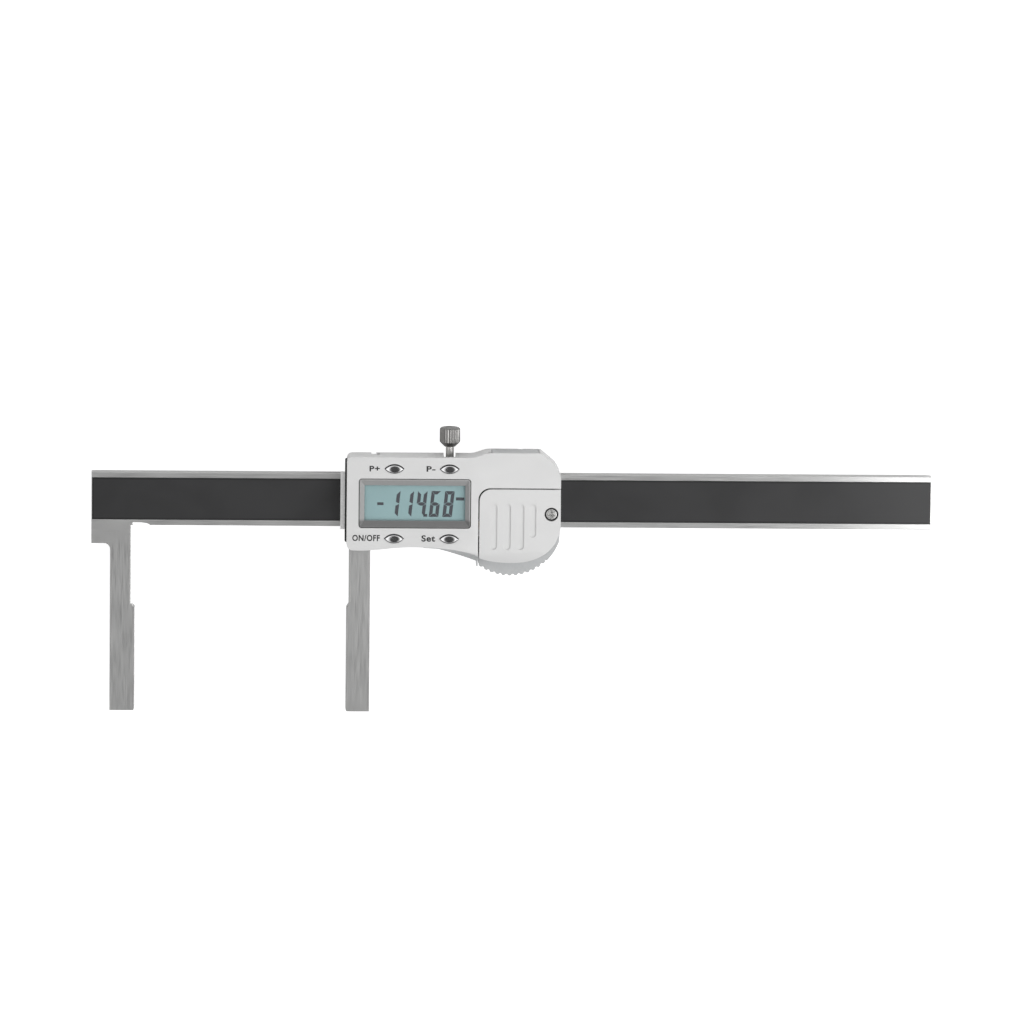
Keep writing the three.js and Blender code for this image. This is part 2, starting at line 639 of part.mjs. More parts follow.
place(slider, "front_cover", frontCover(), SILVER);
place(slider, "lcd_bezel", lcdBezel(), BEZEL_GREY);
place(slider, "display_window", displayWindow(), GLASS);
place(slider, "lcd_panel", lcdPanel(), LCD);
place(slider, "zebra_strip_upper", zebraStrip(BEZEL.y + 5.4), BLACK);
place(slider, "zebra_strip_lower", zebraStrip(BEZEL.y - 5.4), BLACK);
place(slider, "main_pcb", mainPcb(), BOARD);
place(slider, "sensor_board", sensorBoard(), BOARD);
place(slider, "controller_chip", controllerChip(), BLACK);
place(slider, "battery_cell", batteryCell(), CHROME);
place(slider, "battery_contact_negative", negativeContact(), BRASS);
place(slider, "battery_contact_positive", positiveContact(), BRASS);
place(slider, "data_port_socket", dataPortSocket(), BLACK);

for (const [key, at] of Object.entries(BUTTONS)) {
  place(slider, `switch_${key}`, tactSwitch(at), BLACK);
  place(slider, `button_${key}`, pushButton(at), CHROME);
}
place(slider, "battery_door", batteryDoor(), SILVER);
place(slider, "battery_door_screw", batteryDoorScrew(), STEEL);
place(slider, "lock_screw", lockScrew(), STEEL);
place(slider, "lock_pad", lockPad(), BRASS);
place(slider, "data_port_cover", dataPortCover(), SILVER);

const extent = new THREE.Box3().setFromObject(caliper);
const middle = extent.getCenter(new THREE.Vector3());
caliper.position.set(-middle.x, -middle.y, -extent.min.z);

export default caliper;
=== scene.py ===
"""The looks of a digital caliper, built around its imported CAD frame.

Shapes are drawn in millimetres in the caliper's own frame: X along the beam, Y = 0 on the beam's centre
line and z = 0 under the rear plate. finished() scales each one to metres and moves it to the row frame.
"""

import math

import bmesh
import bpy
from mathutils import Matrix, Vector


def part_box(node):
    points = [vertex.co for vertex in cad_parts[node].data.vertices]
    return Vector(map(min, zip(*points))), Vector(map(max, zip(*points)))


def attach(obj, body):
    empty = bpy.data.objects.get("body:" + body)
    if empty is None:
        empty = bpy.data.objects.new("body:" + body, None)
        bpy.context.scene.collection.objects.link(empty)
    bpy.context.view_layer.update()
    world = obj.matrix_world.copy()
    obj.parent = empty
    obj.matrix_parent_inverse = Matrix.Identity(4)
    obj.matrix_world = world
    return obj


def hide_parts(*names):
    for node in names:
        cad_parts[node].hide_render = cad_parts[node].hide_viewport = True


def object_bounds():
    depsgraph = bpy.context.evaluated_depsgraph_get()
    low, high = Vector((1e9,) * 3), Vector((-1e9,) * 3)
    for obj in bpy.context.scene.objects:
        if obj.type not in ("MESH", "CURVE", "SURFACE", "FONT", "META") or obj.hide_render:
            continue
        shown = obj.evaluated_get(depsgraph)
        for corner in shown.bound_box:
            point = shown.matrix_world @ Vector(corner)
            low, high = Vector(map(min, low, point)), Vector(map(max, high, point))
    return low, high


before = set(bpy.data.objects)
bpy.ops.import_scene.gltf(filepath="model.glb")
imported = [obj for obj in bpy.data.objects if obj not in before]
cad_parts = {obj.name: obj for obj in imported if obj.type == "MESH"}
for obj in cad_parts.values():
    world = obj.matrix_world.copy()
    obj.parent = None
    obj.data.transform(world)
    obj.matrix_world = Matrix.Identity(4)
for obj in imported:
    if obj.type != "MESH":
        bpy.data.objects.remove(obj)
cad_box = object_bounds()

MM = 0.001
BEAM_Y = sum(corner.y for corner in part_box("scale_film")) / 2


def span(node):
    """A CAD node's lowest and highest corners in the drawing frame."""
    return [(corner - Vector((0, BEAM_Y, 0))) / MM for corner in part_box(node)]


def middle(node):
    low, high = span(node)
    return (low + high) / 2


# ---- driving dimensions, in millimetres ----

BEAM_LOW, BEAM_HIGH = span("beam")
HALF_BEAM = BEAM_HIGH.x
BEAM_BACK, BEAM_FACE = BEAM_LOW.z, BEAM_HIGH.z
HALF_WIDTH = BEAM_HIGH.y
JAW_TIP = BEAM_LOW.y
PAD_TOP = -33
FIXED_JAW = {"left": -120.4, "right": -113.55, "pad": 0.65, "root": -13.6, "fillet": 1.8}
SLIDING_JAW = {"left": -48.7, "right": -42.3, "pad": 0.7}
SCALE_HALF_WIDTH = 6.35
SCALE_POCKET = 0.75

FRAME_HIGH = span("slider_frame")[1]
FRAME = {
    "left": -49.7,
    "right": FRAME_HIGH.x,
    "half": FRAME_HIGH.y,
    "back": 0.85,
    "front": 6.4,
    "channel": 9.2,
}
FRAME_CORNER = {"x": 11, "y": 9.2}
SENSOR_WINDOW = {"x": (-29, 9), "y": (-6, 6)}

CASE_LOW, CASE_HIGH = span("front_cover")
# The dark strip along the case's left side is painted shade for its shaded side wall; the case's face starts
# this much to its right.
SHADE_STRIP = {"width": 0.55, "rise": 0.9}
CASE = {"left": CASE_LOW.x + SHADE_STRIP["width"], "right": CASE_HIGH.x, "top": 14.3, "port_top": CASE_HIGH.y}
CASE_CORNER = 1.8
CASE_BOTTOM = {"low": -13.95, "waist": -12.92, "chin": -17.7}
CASE_FACE = CASE_HIGH.z
CASE_SEAT = 6.5
SKIRT = CASE_LOW.z
WALL = 1.3
CASE_INSIDE = CASE_FACE - 1.5
HOLLOW_FLOOR = 7.4
POST = {"radius": 1.7, "door_radius": 1.9}
CHIN_BEVEL = {"y": -14.3, "slope": 0.3}
LIP = {"left": -26.5, "right": -10.15, "start": -12.95, "inside": -11.5, "ledge": 0.25, "slope_foot": 8.6}
TOE = {"end": -19.1, "top": 9.5}
# Clear of the case, where cutting shapes end.
BEYOND = {"left": -60, "right": 30, "chin": -20, "bottom": -30, "top": 17}

DOOR = {"left": -10, "top": 4.95, "corner": 3.6}
SEAM = {"outer": 0.2, "inner": 0.16, "depth": 9.2}
GROOVES = [(-5.55, -13.45), (-1.5, -13.45), (2.5, -13.45), (6.1, -9.7)]
GROOVE = {"width": 2.1, "top": 0.3, "depth": 0.38}
DOOR_SCREW = middle("battery_door_screw")
SCREW_SEAT = {"radius": 2.08, "floor": 11.7, "top": 14, "hole": 0.95}
SCREW_HEAD = {"radius": 1.58, "under": 11.93, "top": 12.8, "shank": 0.8, "cross": 2.3}
CELL = middle("battery_cell")
CELL_POCKET = 10.35
CONTACT = {"left": -13, "right": -6, "low": -9.3, "high": -4.7}

BUTTON_KEYS = ["plus", "minus", "on_off", "set"]
BUTTON = {"length": 5.7, "height": 2.7, "top": 13.55, "flange": 10.7, "stem": 0.9}
CASE_SCREWS = [middle(f"case_screw_{i}") for i in range(1, 5)]
GIB_NOTCHES = [(middle("gib_screw_left").x, 2.9), (middle("gib_screw_right").x, 0.9)]
GIB_NOTCH_WIDTH = 1.4
TOP_SLOT = {"left": -40.55, "right": -39.65, "floor": 13.3, "low": 4.7, "high": 7.5}
NAIL_NOTCH = {"left": -7.4, "right": -6.2, "floor": 14.9, "low": 9.8, "high": 12.2}
PORT_HOLE = {"low": 4.6, "high": 11.8}
KNOB = middle("lock_screw")
KNOB_GAP = {"left": 1.9, "right": 1.7, "top": 11.2}
KNOB_SIZE = {"radius": 3.05, "knurls": 24, "outer": 22.05, "shoulder": 17.4, "shaft": 1.2}
KNOB_NECK = {"y": 16.25, "radius": 1.7}
THUMB = {"x": -0.5, "y": -6.75, "radius": 15.7, "plain_to": 340, "shoulder": -9, "inner": 13.55}
TEETH = {"count": 12, "depth": 0.5, "start": 232, "end": 315}
VIEW = {"half_length": 15, "half_height": 5.25, "rim": 0.35}
LABEL_RISE = 0.015


# ---- outlines ----


def arc(x, y, radius, start, end, steps=10):
    """Points on an arc, with angles in degrees."""
    angles = [math.radians(start + (end - start) * i / steps) for i in range(steps + 1)]
    return [(x + radius * math.cos(a), y + radius * math.sin(a)) for a in angles]


def bezier(*points, steps=16):
    """Points on a Bezier curve of any degree, without its first point."""
    found = []
    for i in range(1, steps + 1):
        t = i / steps
        level = [Vector(p) for p in points]
        while len(level) > 1:
            level = [a.lerp(b, t) for a, b in zip(level, level[1:])]
        found.append(tuple(level[0]))
    return found


def rectangle(x0, x1, y0, y1):
    return [(x0, y0), (x1, y0), (x1, y1), (x0, y1)]


def round_rectangle(x0, x1, y0, y1, radius, steps=10):
    r = radius
    return [
        *arc(x0 + r, y0 + r, r, 180, 270, steps),
        *arc(x1 - r, y0 + r, r, 270, 360, steps),
        *arc(x1 - r, y1 - r, r, 0, 90, steps),
        *arc(x0 + r, y1 - r, r, 90, 180, steps),
    ]


def lens(x, y, length, height, steps=20):
    """Two equal arcs that meet in points at both ends."""
    half = length / 2
    rise = height / 2
    radius = (half * half + rise * rise) / (2 * rise)
    angle = math.degrees(math.asin(half / radius))
    lower = arc(x, y + radius - rise, radius, 270 - angle, 270 + angle, steps)
    upper = arc(x, y - radius + rise, radius, 90 - angle, 90 + angle, steps)
    return lower[:-1] + upper[:-1]


def case_outline(inset=0.0):
    """The case seen from the front, drawn in by inset on every side."""
    left, right = CASE["left"] + inset, CASE["right"] - inset
    top, port = CASE["top"] - inset, CASE["port_top"] - inset
    low, waist, chin = (CASE_BOTTOM[k] + inset for k in ("low", "waist", "chin"))
    return [
        (left, top - CASE_CORNER),
        (left, low + 2.2),
        *bezier((left, low + 2.2), (left, low), (left + 2.2, low), steps=10),
        *bezier((left + 2.2, low), (-40.5, low - 0.25), (-36, waist), (-30, waist)),
        *bezier((-30, waist), (-23.5, waist), (-15.5, chin + 3.8), (-10.75, chin + 1.8)),
        *bezier((-10.75, chin + 1.8), (-7.5, chin + 0.4), (-4, chin), (-0.1, chin)),
        *bezier(
            (-0.1, chin),
            (7.3 - inset / 2, chin - 0.1),
            (13.6 - inset, chin + 3.5),
            (right, -6.5),
            steps=24,
        ),
        *bezier((right, 7.5), (14.1 - inset, 10.3 - inset / 3), (12.5 - inset, 12.3 - inset / 3), steps=10),
        (8.45 - inset / 2, port),
        (-6.4 + inset / 2, port),
        *bezier((-6.4 + inset / 2, port), (-9.2, port), (-10.2, top), (-12.8, top), steps=12),
        (left + CASE_CORNER, top),
        *bezier((left + CASE_CORNER, top), (left, top), (left, top - CASE_CORNER), steps=8)[:-1],
    ]


def frame_outline(inset=0.0):
    """The slider's frame seen from the front, with its upper right corner cut off."""
    left, right = FRAME["left"] + inset, FRAME["right"] - inset
    half = FRAME["half"] - inset
    return [
        *arc(left + 1, -half + 1, 1, 180, 270),
        *arc(right - 1, -half + 1, 1, 270, 360),
        (right, FRAME_CORNER["y"] - inset / 2),
        (FRAME_CORNER["x"] - inset / 2, half),
        *arc(left + 1, half - 1, 1, 90, 180),
    ]


def door_outline(gap):
    """The part of the case's face that the battery door takes up, open to the right and below."""
    right, bottom = 60, -60
    return round_rectangle(DOOR["left"] - gap, right, bottom, DOOR["top"] + gap, DOOR["corner"], 14)


# ---- solids ----


def add_object(name, data):
    made = bpy.data.objects.new(name, data)
    bpy.context.scene.collection.objects.link(made)
    return made


def new_object(name, vertices, faces):
    mesh = bpy.data.meshes.new(name)
    mesh.from_pydata([tuple(v) for v in vertices], [], faces)
    piece = add_object(name, mesh)
    face_outwards(piece)
    return piece


def face_outwards(piece):
    shape = bmesh.new()
    shape.from_mesh(piece.data)
    bmesh.ops.recalc_face_normals(shape, faces=shape.faces)
    shape.to_mesh(piece.data)
    shape.free()


def loft(sections):
    """A closed solid through sections, each an outline and its height, all with the same number of points."""
    count = len(sections[0][0])
    vertices = [(x, y, z) for outline, z in sections for x, y in outline]
    faces = [tuple(reversed(range(count)))]
    for level in range(len(sections) - 1):
        base = level * count
        for i in range(count):
            j = (i + 1) % count
            faces.append((base + i, base + j, base + count + j, base + count + i))
    faces.append(tuple(range(len(vertices) - count, len(vertices))))
    return new_object("draft", vertices, faces)


def prism(outline, low, high):
    return loft([(outline, low), (outline, high)])


def box(x, y, z):
    return prism(rectangle(*x, *y), *z)


def scaled(outline, x, y, factor):
    return [(x + (px - x) * factor, y + (py - y) * factor) for px, py in outline]


def turned(profile, x, y, steps=48):
    """A turned solid round an upright axis at x, y. profile is (radius, height) pairs, from axis to axis."""
    piece = loft([(arc(x, y, max(radius, 1e-4), 0, 360, steps)[:-1], height) for radius, height in profile])
    weld(piece, 0.001)
    face_outwards(piece)
    return piece


def cylinder(x, y, radius, low, high, steps=40):
    return turned([(0, low), (radius, low), (radius, high), (0, high)], x, y, steps)


def lay_along_y(piece, x, z):
    """Turns a piece that was drawn up the Z axis, so that it lies along Y at x, z."""
    piece.data.transform(Matrix.Translation((x, 0, z)) @ Matrix.Rotation(-math.pi / 2, 4, "X"))
    return piece


def bake(piece):
    """Replaces the piece's mesh by the one that its modifiers make."""
    graph = bpy.context.evaluated_depsgraph_get()
    mesh = bpy.data.meshes.new_from_object(piece.evaluated_get(graph))
    piece.modifiers.clear()
    piece.data = mesh
    return piece


def weld(piece, distance=0.004, flat=0.0):
    """Merges points closer than distance, and faces that meet at less than flat degrees."""
    shape = bmesh.new()
    shape.from_mesh(piece.data)
    bmesh.ops.remove_doubles(shape, verts=shape.verts, dist=distance)
    if flat:
        limit = math.radians(flat)
        bmesh.ops.dissolve_limit(shape, angle_limit=limit, verts=shape.verts, edges=shape.edges)
    shape.to_mesh(piece.data)
    shape.free()


def combine(operation, piece, tools):
    for tool in tools:
        modifier = piece.modifiers.new("Combine", "BOOLEAN")
        modifier.operation = operation
        modifier.solver = "EXACT"
        modifier.object = tool
    bake(piece)
    for tool in tools:
        bpy.data.objects.remove(tool)
    return piece


def join(piece, *tools):
    return combine("UNION", piece, tools)


def cut(piece, *tools):
    return combine("DIFFERENCE", piece, tools)


def common(piece, *tools):
    return combine("INTERSECT", piece, tools)


def round_edges(piece, width, segments=3, angle=32):
    """Rounds every edge that is sharper than angle, in degrees."""
    weld(piece, 0.004, 0.4)
    modifier = piece.modifiers.new("Round", "BEVEL")
    modifier.width = width
    modifier.segments = segments
    modifier.limit_method = "ANGLE"
    modifier.angle_limit = math.radians(angle)
    modifier.miter_outer = "MITER_ARC"
    modifier.use_clamp_overlap = True
    return bake(piece)


def crease(piece, angle=14, least_area=4.0):
    """Keeps the fold between two wide flat faces crisp. angle is in degrees."""
    shape = bmesh.new()
    shape.from_mesh(piece.data)
    for edge in shape.edges:
        faces = edge.link_faces
        if len(faces) == 2 and min(face.calc_area() for face in faces) > least_area:
            if edge.calc_face_angle() > math.radians(angle):
                edge.smooth = False
    shape.to_mesh(piece.data)
    shape.free()


def finished(piece, name, body, surface, replaced=(), smooth=42):
    """Shades a drawn piece, moves it to the row frame, hangs it on the body that it rides on and hides the
    CAD nodes that it stands for.
    """
    piece.name = name
    piece.data.shade_smooth()
    piece.data.set_sharp_from_angle(angle=math.radians(smooth))
    crease(piece)
    modifier = piece.modifiers.new("Normals", "WEIGHTED_NORMAL")
    modifier.keep_sharp = True
    bake(piece)
    piece.data.name = name
    piece.data.transform(Matrix.Translation((0, BEAM_Y, 0)) @ Matrix.Scale(MM, 4))
    piece.data.materials.clear()
    piece.data.materials.append(surface)
    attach(piece, body)
    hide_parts(*replaced)
    return piece


# ---- materials ----


def new_material(name, colour, roughness, metallic=0.0):
    made = bpy.data.materials.new(name)
    made.use_nodes = True
    shader = made.node_tree.nodes["Principled BSDF"]
    shader.inputs["Base Color"].default_value = (*colour, 1)
    shader.inputs["Roughness"].default_value = roughness
    shader.inputs["Metallic"].default_value = metallic
    return made


def add_node(made, kind, inputs=None, **settings):
    """A new shader node. inputs maps a socket's name or number to a value or to another node's output."""
    node = made.node_tree.nodes.new(kind)
    for key, value in settings.items():
        setattr(node, key, value)
    for key, value in (inputs or {}).items():
        if isinstance(value, bpy.types.NodeSocket):
            made.node_tree.links.new(value, node.inputs[key])
        else:
            node.inputs[key].default_value = value
    return node


def pattern(made, per_metre, detail=3.0, roughness=0.55, distortion=0.0):
    """A noise over the piece's own space, with its own number of features a metre along X, Y and Z."""
    space = add_node(made, "ShaderNodeTexCoord")
    stretch = add_node(made, "ShaderNodeMapping", {"Vector": space.outputs["Object"], "Scale": per_metre})
    noise = add_node(
        made,
        "ShaderNodeTexNoise",
        {
            "Vector": stretch.outputs[0],
            "Scale": 1.0,
            "Detail": detail,
            "Roughness": roughness,
            "Distortion": distortion,
        },
    )
    return noise.outputs["Fac"]


def map_range(made, value, start, end, low, high):
    """value, with start ... end carried to low ... high and held there outside."""
    inputs = {"Value": value, "From Min": start, "From Max": end, "To Min": low, "To Max": high}
    return add_node(made, "ShaderNodeMapRange", inputs).outputs[0]


def remap(made, value, low, high):
    """A noise's middle range, carried to low ... high."""
    return map_range(made, value, 0.3, 0.7, low, high)


def between(made, axis, start, end, low=0.0, high=1.0):
    """low where the piece's own axis is under start, in metres, and high where it is over end."""
    space = add_node(made, "ShaderNodeTexCoord")
    parts = add_node(made, "ShaderNodeSeparateXYZ", {0: space.outputs["Object"]})
    return map_range(made, parts.outputs[axis], start, end, low, high)


def times(made, first, second):
    return add_node(made, "ShaderNodeMath", {0: first, 1: second}, operation="MULTIPLY").outputs[0]


def vary_colour(made, colour, value, low, high, painted_light=None):
    """The base colour, lighter and darker with value, and scaled by a painted light and shade factor where
    one is given.
    """
    shader = made.node_tree.nodes["Principled BSDF"]
    scale = remap(made, value, low, high)
    if painted_light:
        scale = times(made, scale, painted_light)
    mixed = add_node(made, "ShaderNodeVectorMath", {0: colour, "Scale": scale}, operation="SCALE")
    made.node_tree.links.new(mixed.outputs[0], shader.inputs["Base Color"])


def vary_roughness(made, value, low, high):
    shader = made.node_tree.nodes["Principled BSDF"]
    made.node_tree.links.new(remap(made, value, low, high), shader.inputs["Roughness"])


def add_bump(made, value, depth, strength=1.0):
    """Relief of the given depth in metres."""
    shader = made.node_tree.nodes["Principled BSDF"]
    bump = add_node(made, "ShaderNodeBump", {"Height": value, "Distance": depth, "Strength": strength})
    made.node_tree.links.new(bump.outputs[0], shader.inputs["Normal"])


def ground_steel():
    """Ground stainless steel: fine lines along the beam and across its jaw, and soft cloudy variation."""
    colour = (0.59, 0.59, 0.585)
    made = new_material("ground_steel", colour, 0.33, 1.0)
    lengthwise = pattern(made, (90, 3800, 3800), detail=4)
    crosswise = pattern(made, (3400, 120, 3400), detail=4)
    on_beam = between(made, "Y", BEAM_Y - 14 * MM, BEAM_Y - 9 * MM)
    lines = map_range(made, on_beam, 0.0, 1.0, crosswise, lengthwise)
    clouds = pattern(made, (30, 45, 45), detail=2)
    vary_colour(made, colour, clouds, 0.95, 1.05)
    vary_roughness(made, lines, 0.29, 0.4)
    add_bump(made, lines, 0.000004)
    return made


def jaw_steel():
    """The sliding jaw's steel, ground across it."""
    colour = (0.54, 0.54, 0.535)
    made = new_material("jaw_steel", colour, 0.36, 1.0)
    lines = pattern(made, (3400, 120, 3400), detail=4)
    clouds = pattern(made, (60, 35, 60), detail=2)
    vary_colour(made, colour, clouds, 0.94, 1.06)
    vary_roughness(made, lines, 0.32, 0.44)
    add_bump(made, lines, 0.000006)
    return made


def fastener_steel():
    colour = (0.72, 0.72, 0.71)
    made = new_material("fastener_steel", colour, 0.3, 1.0)
    specks = pattern(made, (1500, 1500, 1500), detail=3)
    vary_colour(made, colour, specks, 0.9, 1.08)
    vary_roughness(made, specks, 0.24, 0.4)
    add_bump(made, specks, 0.00001)
    return made


def lock_steel():
    """The knob's darker steel, with its shaft painted 2.6 times lighter: a painted highlight."""
    colour = (0.26, 0.256, 0.25)
    made = new_material("lock_steel", colour, 0.34, 1.0)
    specks = pattern(made, (1800, 700, 1800), detail=3)
    neck = BEAM_Y + KNOB_NECK["y"] * MM
    # Painted highlight: the shaft, below the neck, is painted 2.6 times lighter than the knob.
    painted_light = between(made, "Y", neck, neck + 0.5 * MM, 2.6, 1.0)
    vary_colour(made, colour, specks, 0.85, 1.12, painted_light)
    vary_roughness(made, specks, 0.28, 0.44)
    return made


def silver_case():
    """Satin silver case metal with a very fine brushed grain along X."""
    colour = (0.74, 0.74, 0.738)
    made = new_material("silver_case", colour, 0.42, 0.3)
    lines = pattern(made, (160, 2600, 2600), detail=4)
    clouds = pattern(made, (40, 60, 60), detail=2)
    vary_colour(made, colour, clouds, 0.98, 1.02)
    vary_roughness(made, lines, 0.38, 0.48)
    add_bump(made, lines, 0.000004)
    return made


def thumb_silver():
    colour = (0.5, 0.51, 0.515)
    made = new_material("thumb_silver", colour, 0.5, 0.2)
    grain = pattern(made, (1800, 1800, 1800), detail=3)
    vary_colour(made, colour, grain, 0.96, 1.04)
    vary_roughness(made, grain, 0.45, 0.56)
    add_bump(made, grain, 0.000008)
    return made


def button_chrome():
    colour = (0.88, 0.88, 0.89)
    made = new_material("button_chrome", colour, 0.08, 1.0)
    wear = pattern(made, (700, 700, 700), detail=4)
    vary_colour(made, colour, wear, 0.96, 1.03)
    vary_roughness(made, wear, 0.06, 0.12)
    return made


def scale_film():
    """Dark satin film over the scale, with faint smudges and long fine scuffs, and its border painted darker:
    painted shade for the groove round the film.
    """
    colour = (0.017, 0.017, 0.018)
    made = new_material("scale_film", colour, 0.45)
    smudges = pattern(made, (45, 60, 60), detail=4, distortion=0.6)
    scuffs = pattern(made, (50, 3000, 3000), detail=3)
    # Painted shade: the film is painted darker within 0.4 mm of its long edges and its left end.
    edge_shade_width = 0.4 * MM
    edge_shade_fade = 1.3 * edge_shade_width
    low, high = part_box("scale_film")
    inside = between(made, "Y", low.y + edge_shade_width, low.y + edge_shade_fade)
    inside = times(made, inside, between(made, "Y", high.y - edge_shade_fade, high.y - edge_shade_width, 1, 0))
    inside = times(made, inside, between(made, "X", low.x + edge_shade_width, low.x + edge_shade_fade))
    painted_light = map_range(made, inside, 0.0, 1.0, 0.35, 1.0)
    vary_colour(made, colour, smudges, 0.88, 1.14, painted_light)
    vary_roughness(made, smudges, 0.4, 0.52)
    add_bump(made, scuffs, 0.000003)
    return made


def circuit_board():
    colour = (0.035, 0.12, 0.06)
    made = new_material("circuit_board", colour, 0.45)
    fibres = pattern(made, (1400, 1400, 1400), detail=2)
    vary_colour(made, colour, fibres, 0.8, 1.2)
    vary_roughness(made, fibres, 0.38, 0.52)
    return made


def brass():
    colour = (0.6, 0.47, 0.24)
    made = new_material("brass", colour, 0.3, 1.0)
    lines = pattern(made, (200, 2400, 2400), detail=3)
    vary_colour(made, colour, lines, 0.92, 1.08)
    vary_roughness(made, lines, 0.24, 0.4)
    return made


def wiper_felt():
    """Dense off-white felt, for the wipers that ride over the beam."""
    colour = (0.95, 0.95, 0.945)
    made = new_material("wiper_felt", colour, 0.9)
    fibres = pattern(made, (2400, 2400, 2400), detail=4)
    vary_colour(made, colour, fibres, 0.92, 1.06)
    vary_roughness(made, fibres, 0.8, 0.98)
    add_bump(made, fibres, 0.00003)
    return made


def black_plastic():
    colour = (0.018, 0.018, 0.019)
    made = new_material("black_plastic", colour, 0.5)
    grain = pattern(made, (2600, 2600, 2600), detail=2)
    vary_colour(made, colour, grain, 0.85, 1.15)
    vary_roughness(made, grain, 0.44, 0.56)
    add_bump(made, grain, 0.00001)
    return made


def bezel_grey():
    """Satin grey plastic, painted darker on the display's lower wall: painted shade where less light falls.
    """
    colour = (0.34, 0.34, 0.34)
    made = new_material("bezel_grey", colour, 0.45)
    grain = pattern(made, (1500, 1500, 1500), detail=3)
    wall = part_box("lcd_bezel")[0].y
    # Painted shade: the lowest part of the display's lower wall is painted half as bright.
    painted_light = between(made, "Y", wall + 1.7 * MM, wall + 2.6 * MM, 0.5, 1.0)
    vary_colour(made, colour, grain, 0.96, 1.04, painted_light)
    vary_roughness(made, grain, 0.4, 0.52)
    return made


def window_clear():
    made = new_material("window_clear", (0.9, 0.95, 0.95), 0.06)
    shader = made.node_tree.nodes["Principled BSDF"]
    shader.inputs["Alpha"].default_value = 0.035
    smears = pattern(made, (120, 120, 120), detail=2)
    vary_roughness(made, smears, 0.04, 0.1)
    return made


def lcd_glass():
    """The reflective liquid crystal cell, pale blue-green."""
    colour = (0.255, 0.405, 0.42)
    made = new_material("lcd_glass", colour, 0.4)
    haze = pattern(made, (90, 110, 90), detail=1)
    vary_colour(made, colour, haze, 0.97, 1.03)
    vary_roughness(made, haze, 0.36, 0.44)
    return made


def lcd_ink():
    colour = (0.018, 0.02, 0.032)
    made = new_material("lcd_ink", colour, 0.45)
    made.node_tree.nodes["Principled BSDF"].inputs["Specular IOR Level"].default_value = 0.25
    haze = pattern(made, (900, 900, 900), detail=1)
    vary_colour(made, colour, haze, 0.9, 1.1)
    return made


def label_ink():
    colour = (0.02, 0.02, 0.021)
    made = new_material("label_ink", colour, 0.5)
    grain = pattern(made, (3000, 3000, 3000), detail=2)
    vary_colour(made, colour, grain, 0.7, 1.5)
    return made


METALS = [ground_steel, jaw_steel, fastener_steel, lock_steel, button_chrome, brass]
SILVERS = [silver_case, thumb_silver]
PLASTICS = [scale_film, circuit_board, wiper_felt, black_plastic, bezel_grey]
DISPLAY_AND_PRINT = [window_clear, lcd_glass, lcd_ink, label_ink]
SURFACES = {build.__name__: build() for build in METALS + SILVERS + PLASTICS + DISPLAY_AND_PRINT}


# ---- beam ----


def beam_bar():
    left, right, pad, root, fillet = (FIXED_JAW[k] for k in ("left", "right", "pad", "root", "fillet"))
    relief_y = 0.8 - HALF_WIDTH
    outline = [
        (-HALF_BEAM, root),
        *arc(left - fillet, root - fillet, fillet, 90, 0),
        (left, JAW_TIP),
        (right + pad - 0.3, JAW_TIP),
        (right + pad, JAW_TIP + 0.6),
        (right + pad, PAD_TOP),
        (right, PAD_TOP + 0.4),
        (right, relief_y),
        *bezier((right + 1, relief_y), (right + 4.6, relief_y), (right + 5.1, -HALF_WIDTH)),
        (HALF_BEAM, -HALF_WIDTH),
        (HALF_BEAM, HALF_WIDTH),
        (-HALF_BEAM, HALF_WIDTH),
    ]
    bar = prism(outline, BEAM_BACK, BEAM_FACE)
    ends = (-HALF_BEAM - 1, HALF_BEAM + 1)
    sides = (-SCALE_HALF_WIDTH, SCALE_HALF_WIDTH)
    pocket = box(ends, sides, (BEAM_FACE - SCALE_POCKET, BEAM_FACE + 1))
    holes = [cylinder(middle(f"end_stop_screw_{i}").x, 0, 0.9, 0, BEAM_BACK + 2.6) for i in (1, 2)]
    edge = edge_bevel(right, PAD_TOP + 1, -HALF_WIDTH, 1.0, 0.35)
    cut(bar, pocket, edge, *holes)
    round_edges(bar, 0.18)
    finished(bar, "beam_bar", "beam", SURFACES["ground_steel"], ["beam"])


def edge_bevel(x, low, high, width, drop):
    """What is cut away along a jaw's front edge at x. width is measured to the left of the edge, or to its
    right when it is negative, and drop is how much lower the edge becomes."""
    slice_outline = [(x - width, BEAM_FACE), (x + width, BEAM_FACE), (x + width, BEAM_FACE - 2 * drop)]
    bevel = prism([(px, pz + 0.001) for px, pz in slice_outline], low, high)
    bevel.data.transform(Matrix(((1, 0, 0, 0), (0, 0, 1, 0), (0, 1, 0, 0), (0, 0, 0, 1))))
    face_outwards(bevel)
    return bevel


def scale_strip():
    low, high = span("scale_film")
    film = box((low.x, high.x), (low.y, high.y), (low.z, high.z))
    round_edges(film, 0.05, 2)
    finished(film, "scale_strip", "beam", SURFACES["scale_film"], ["scale_film"])


# ---- slider frame ----


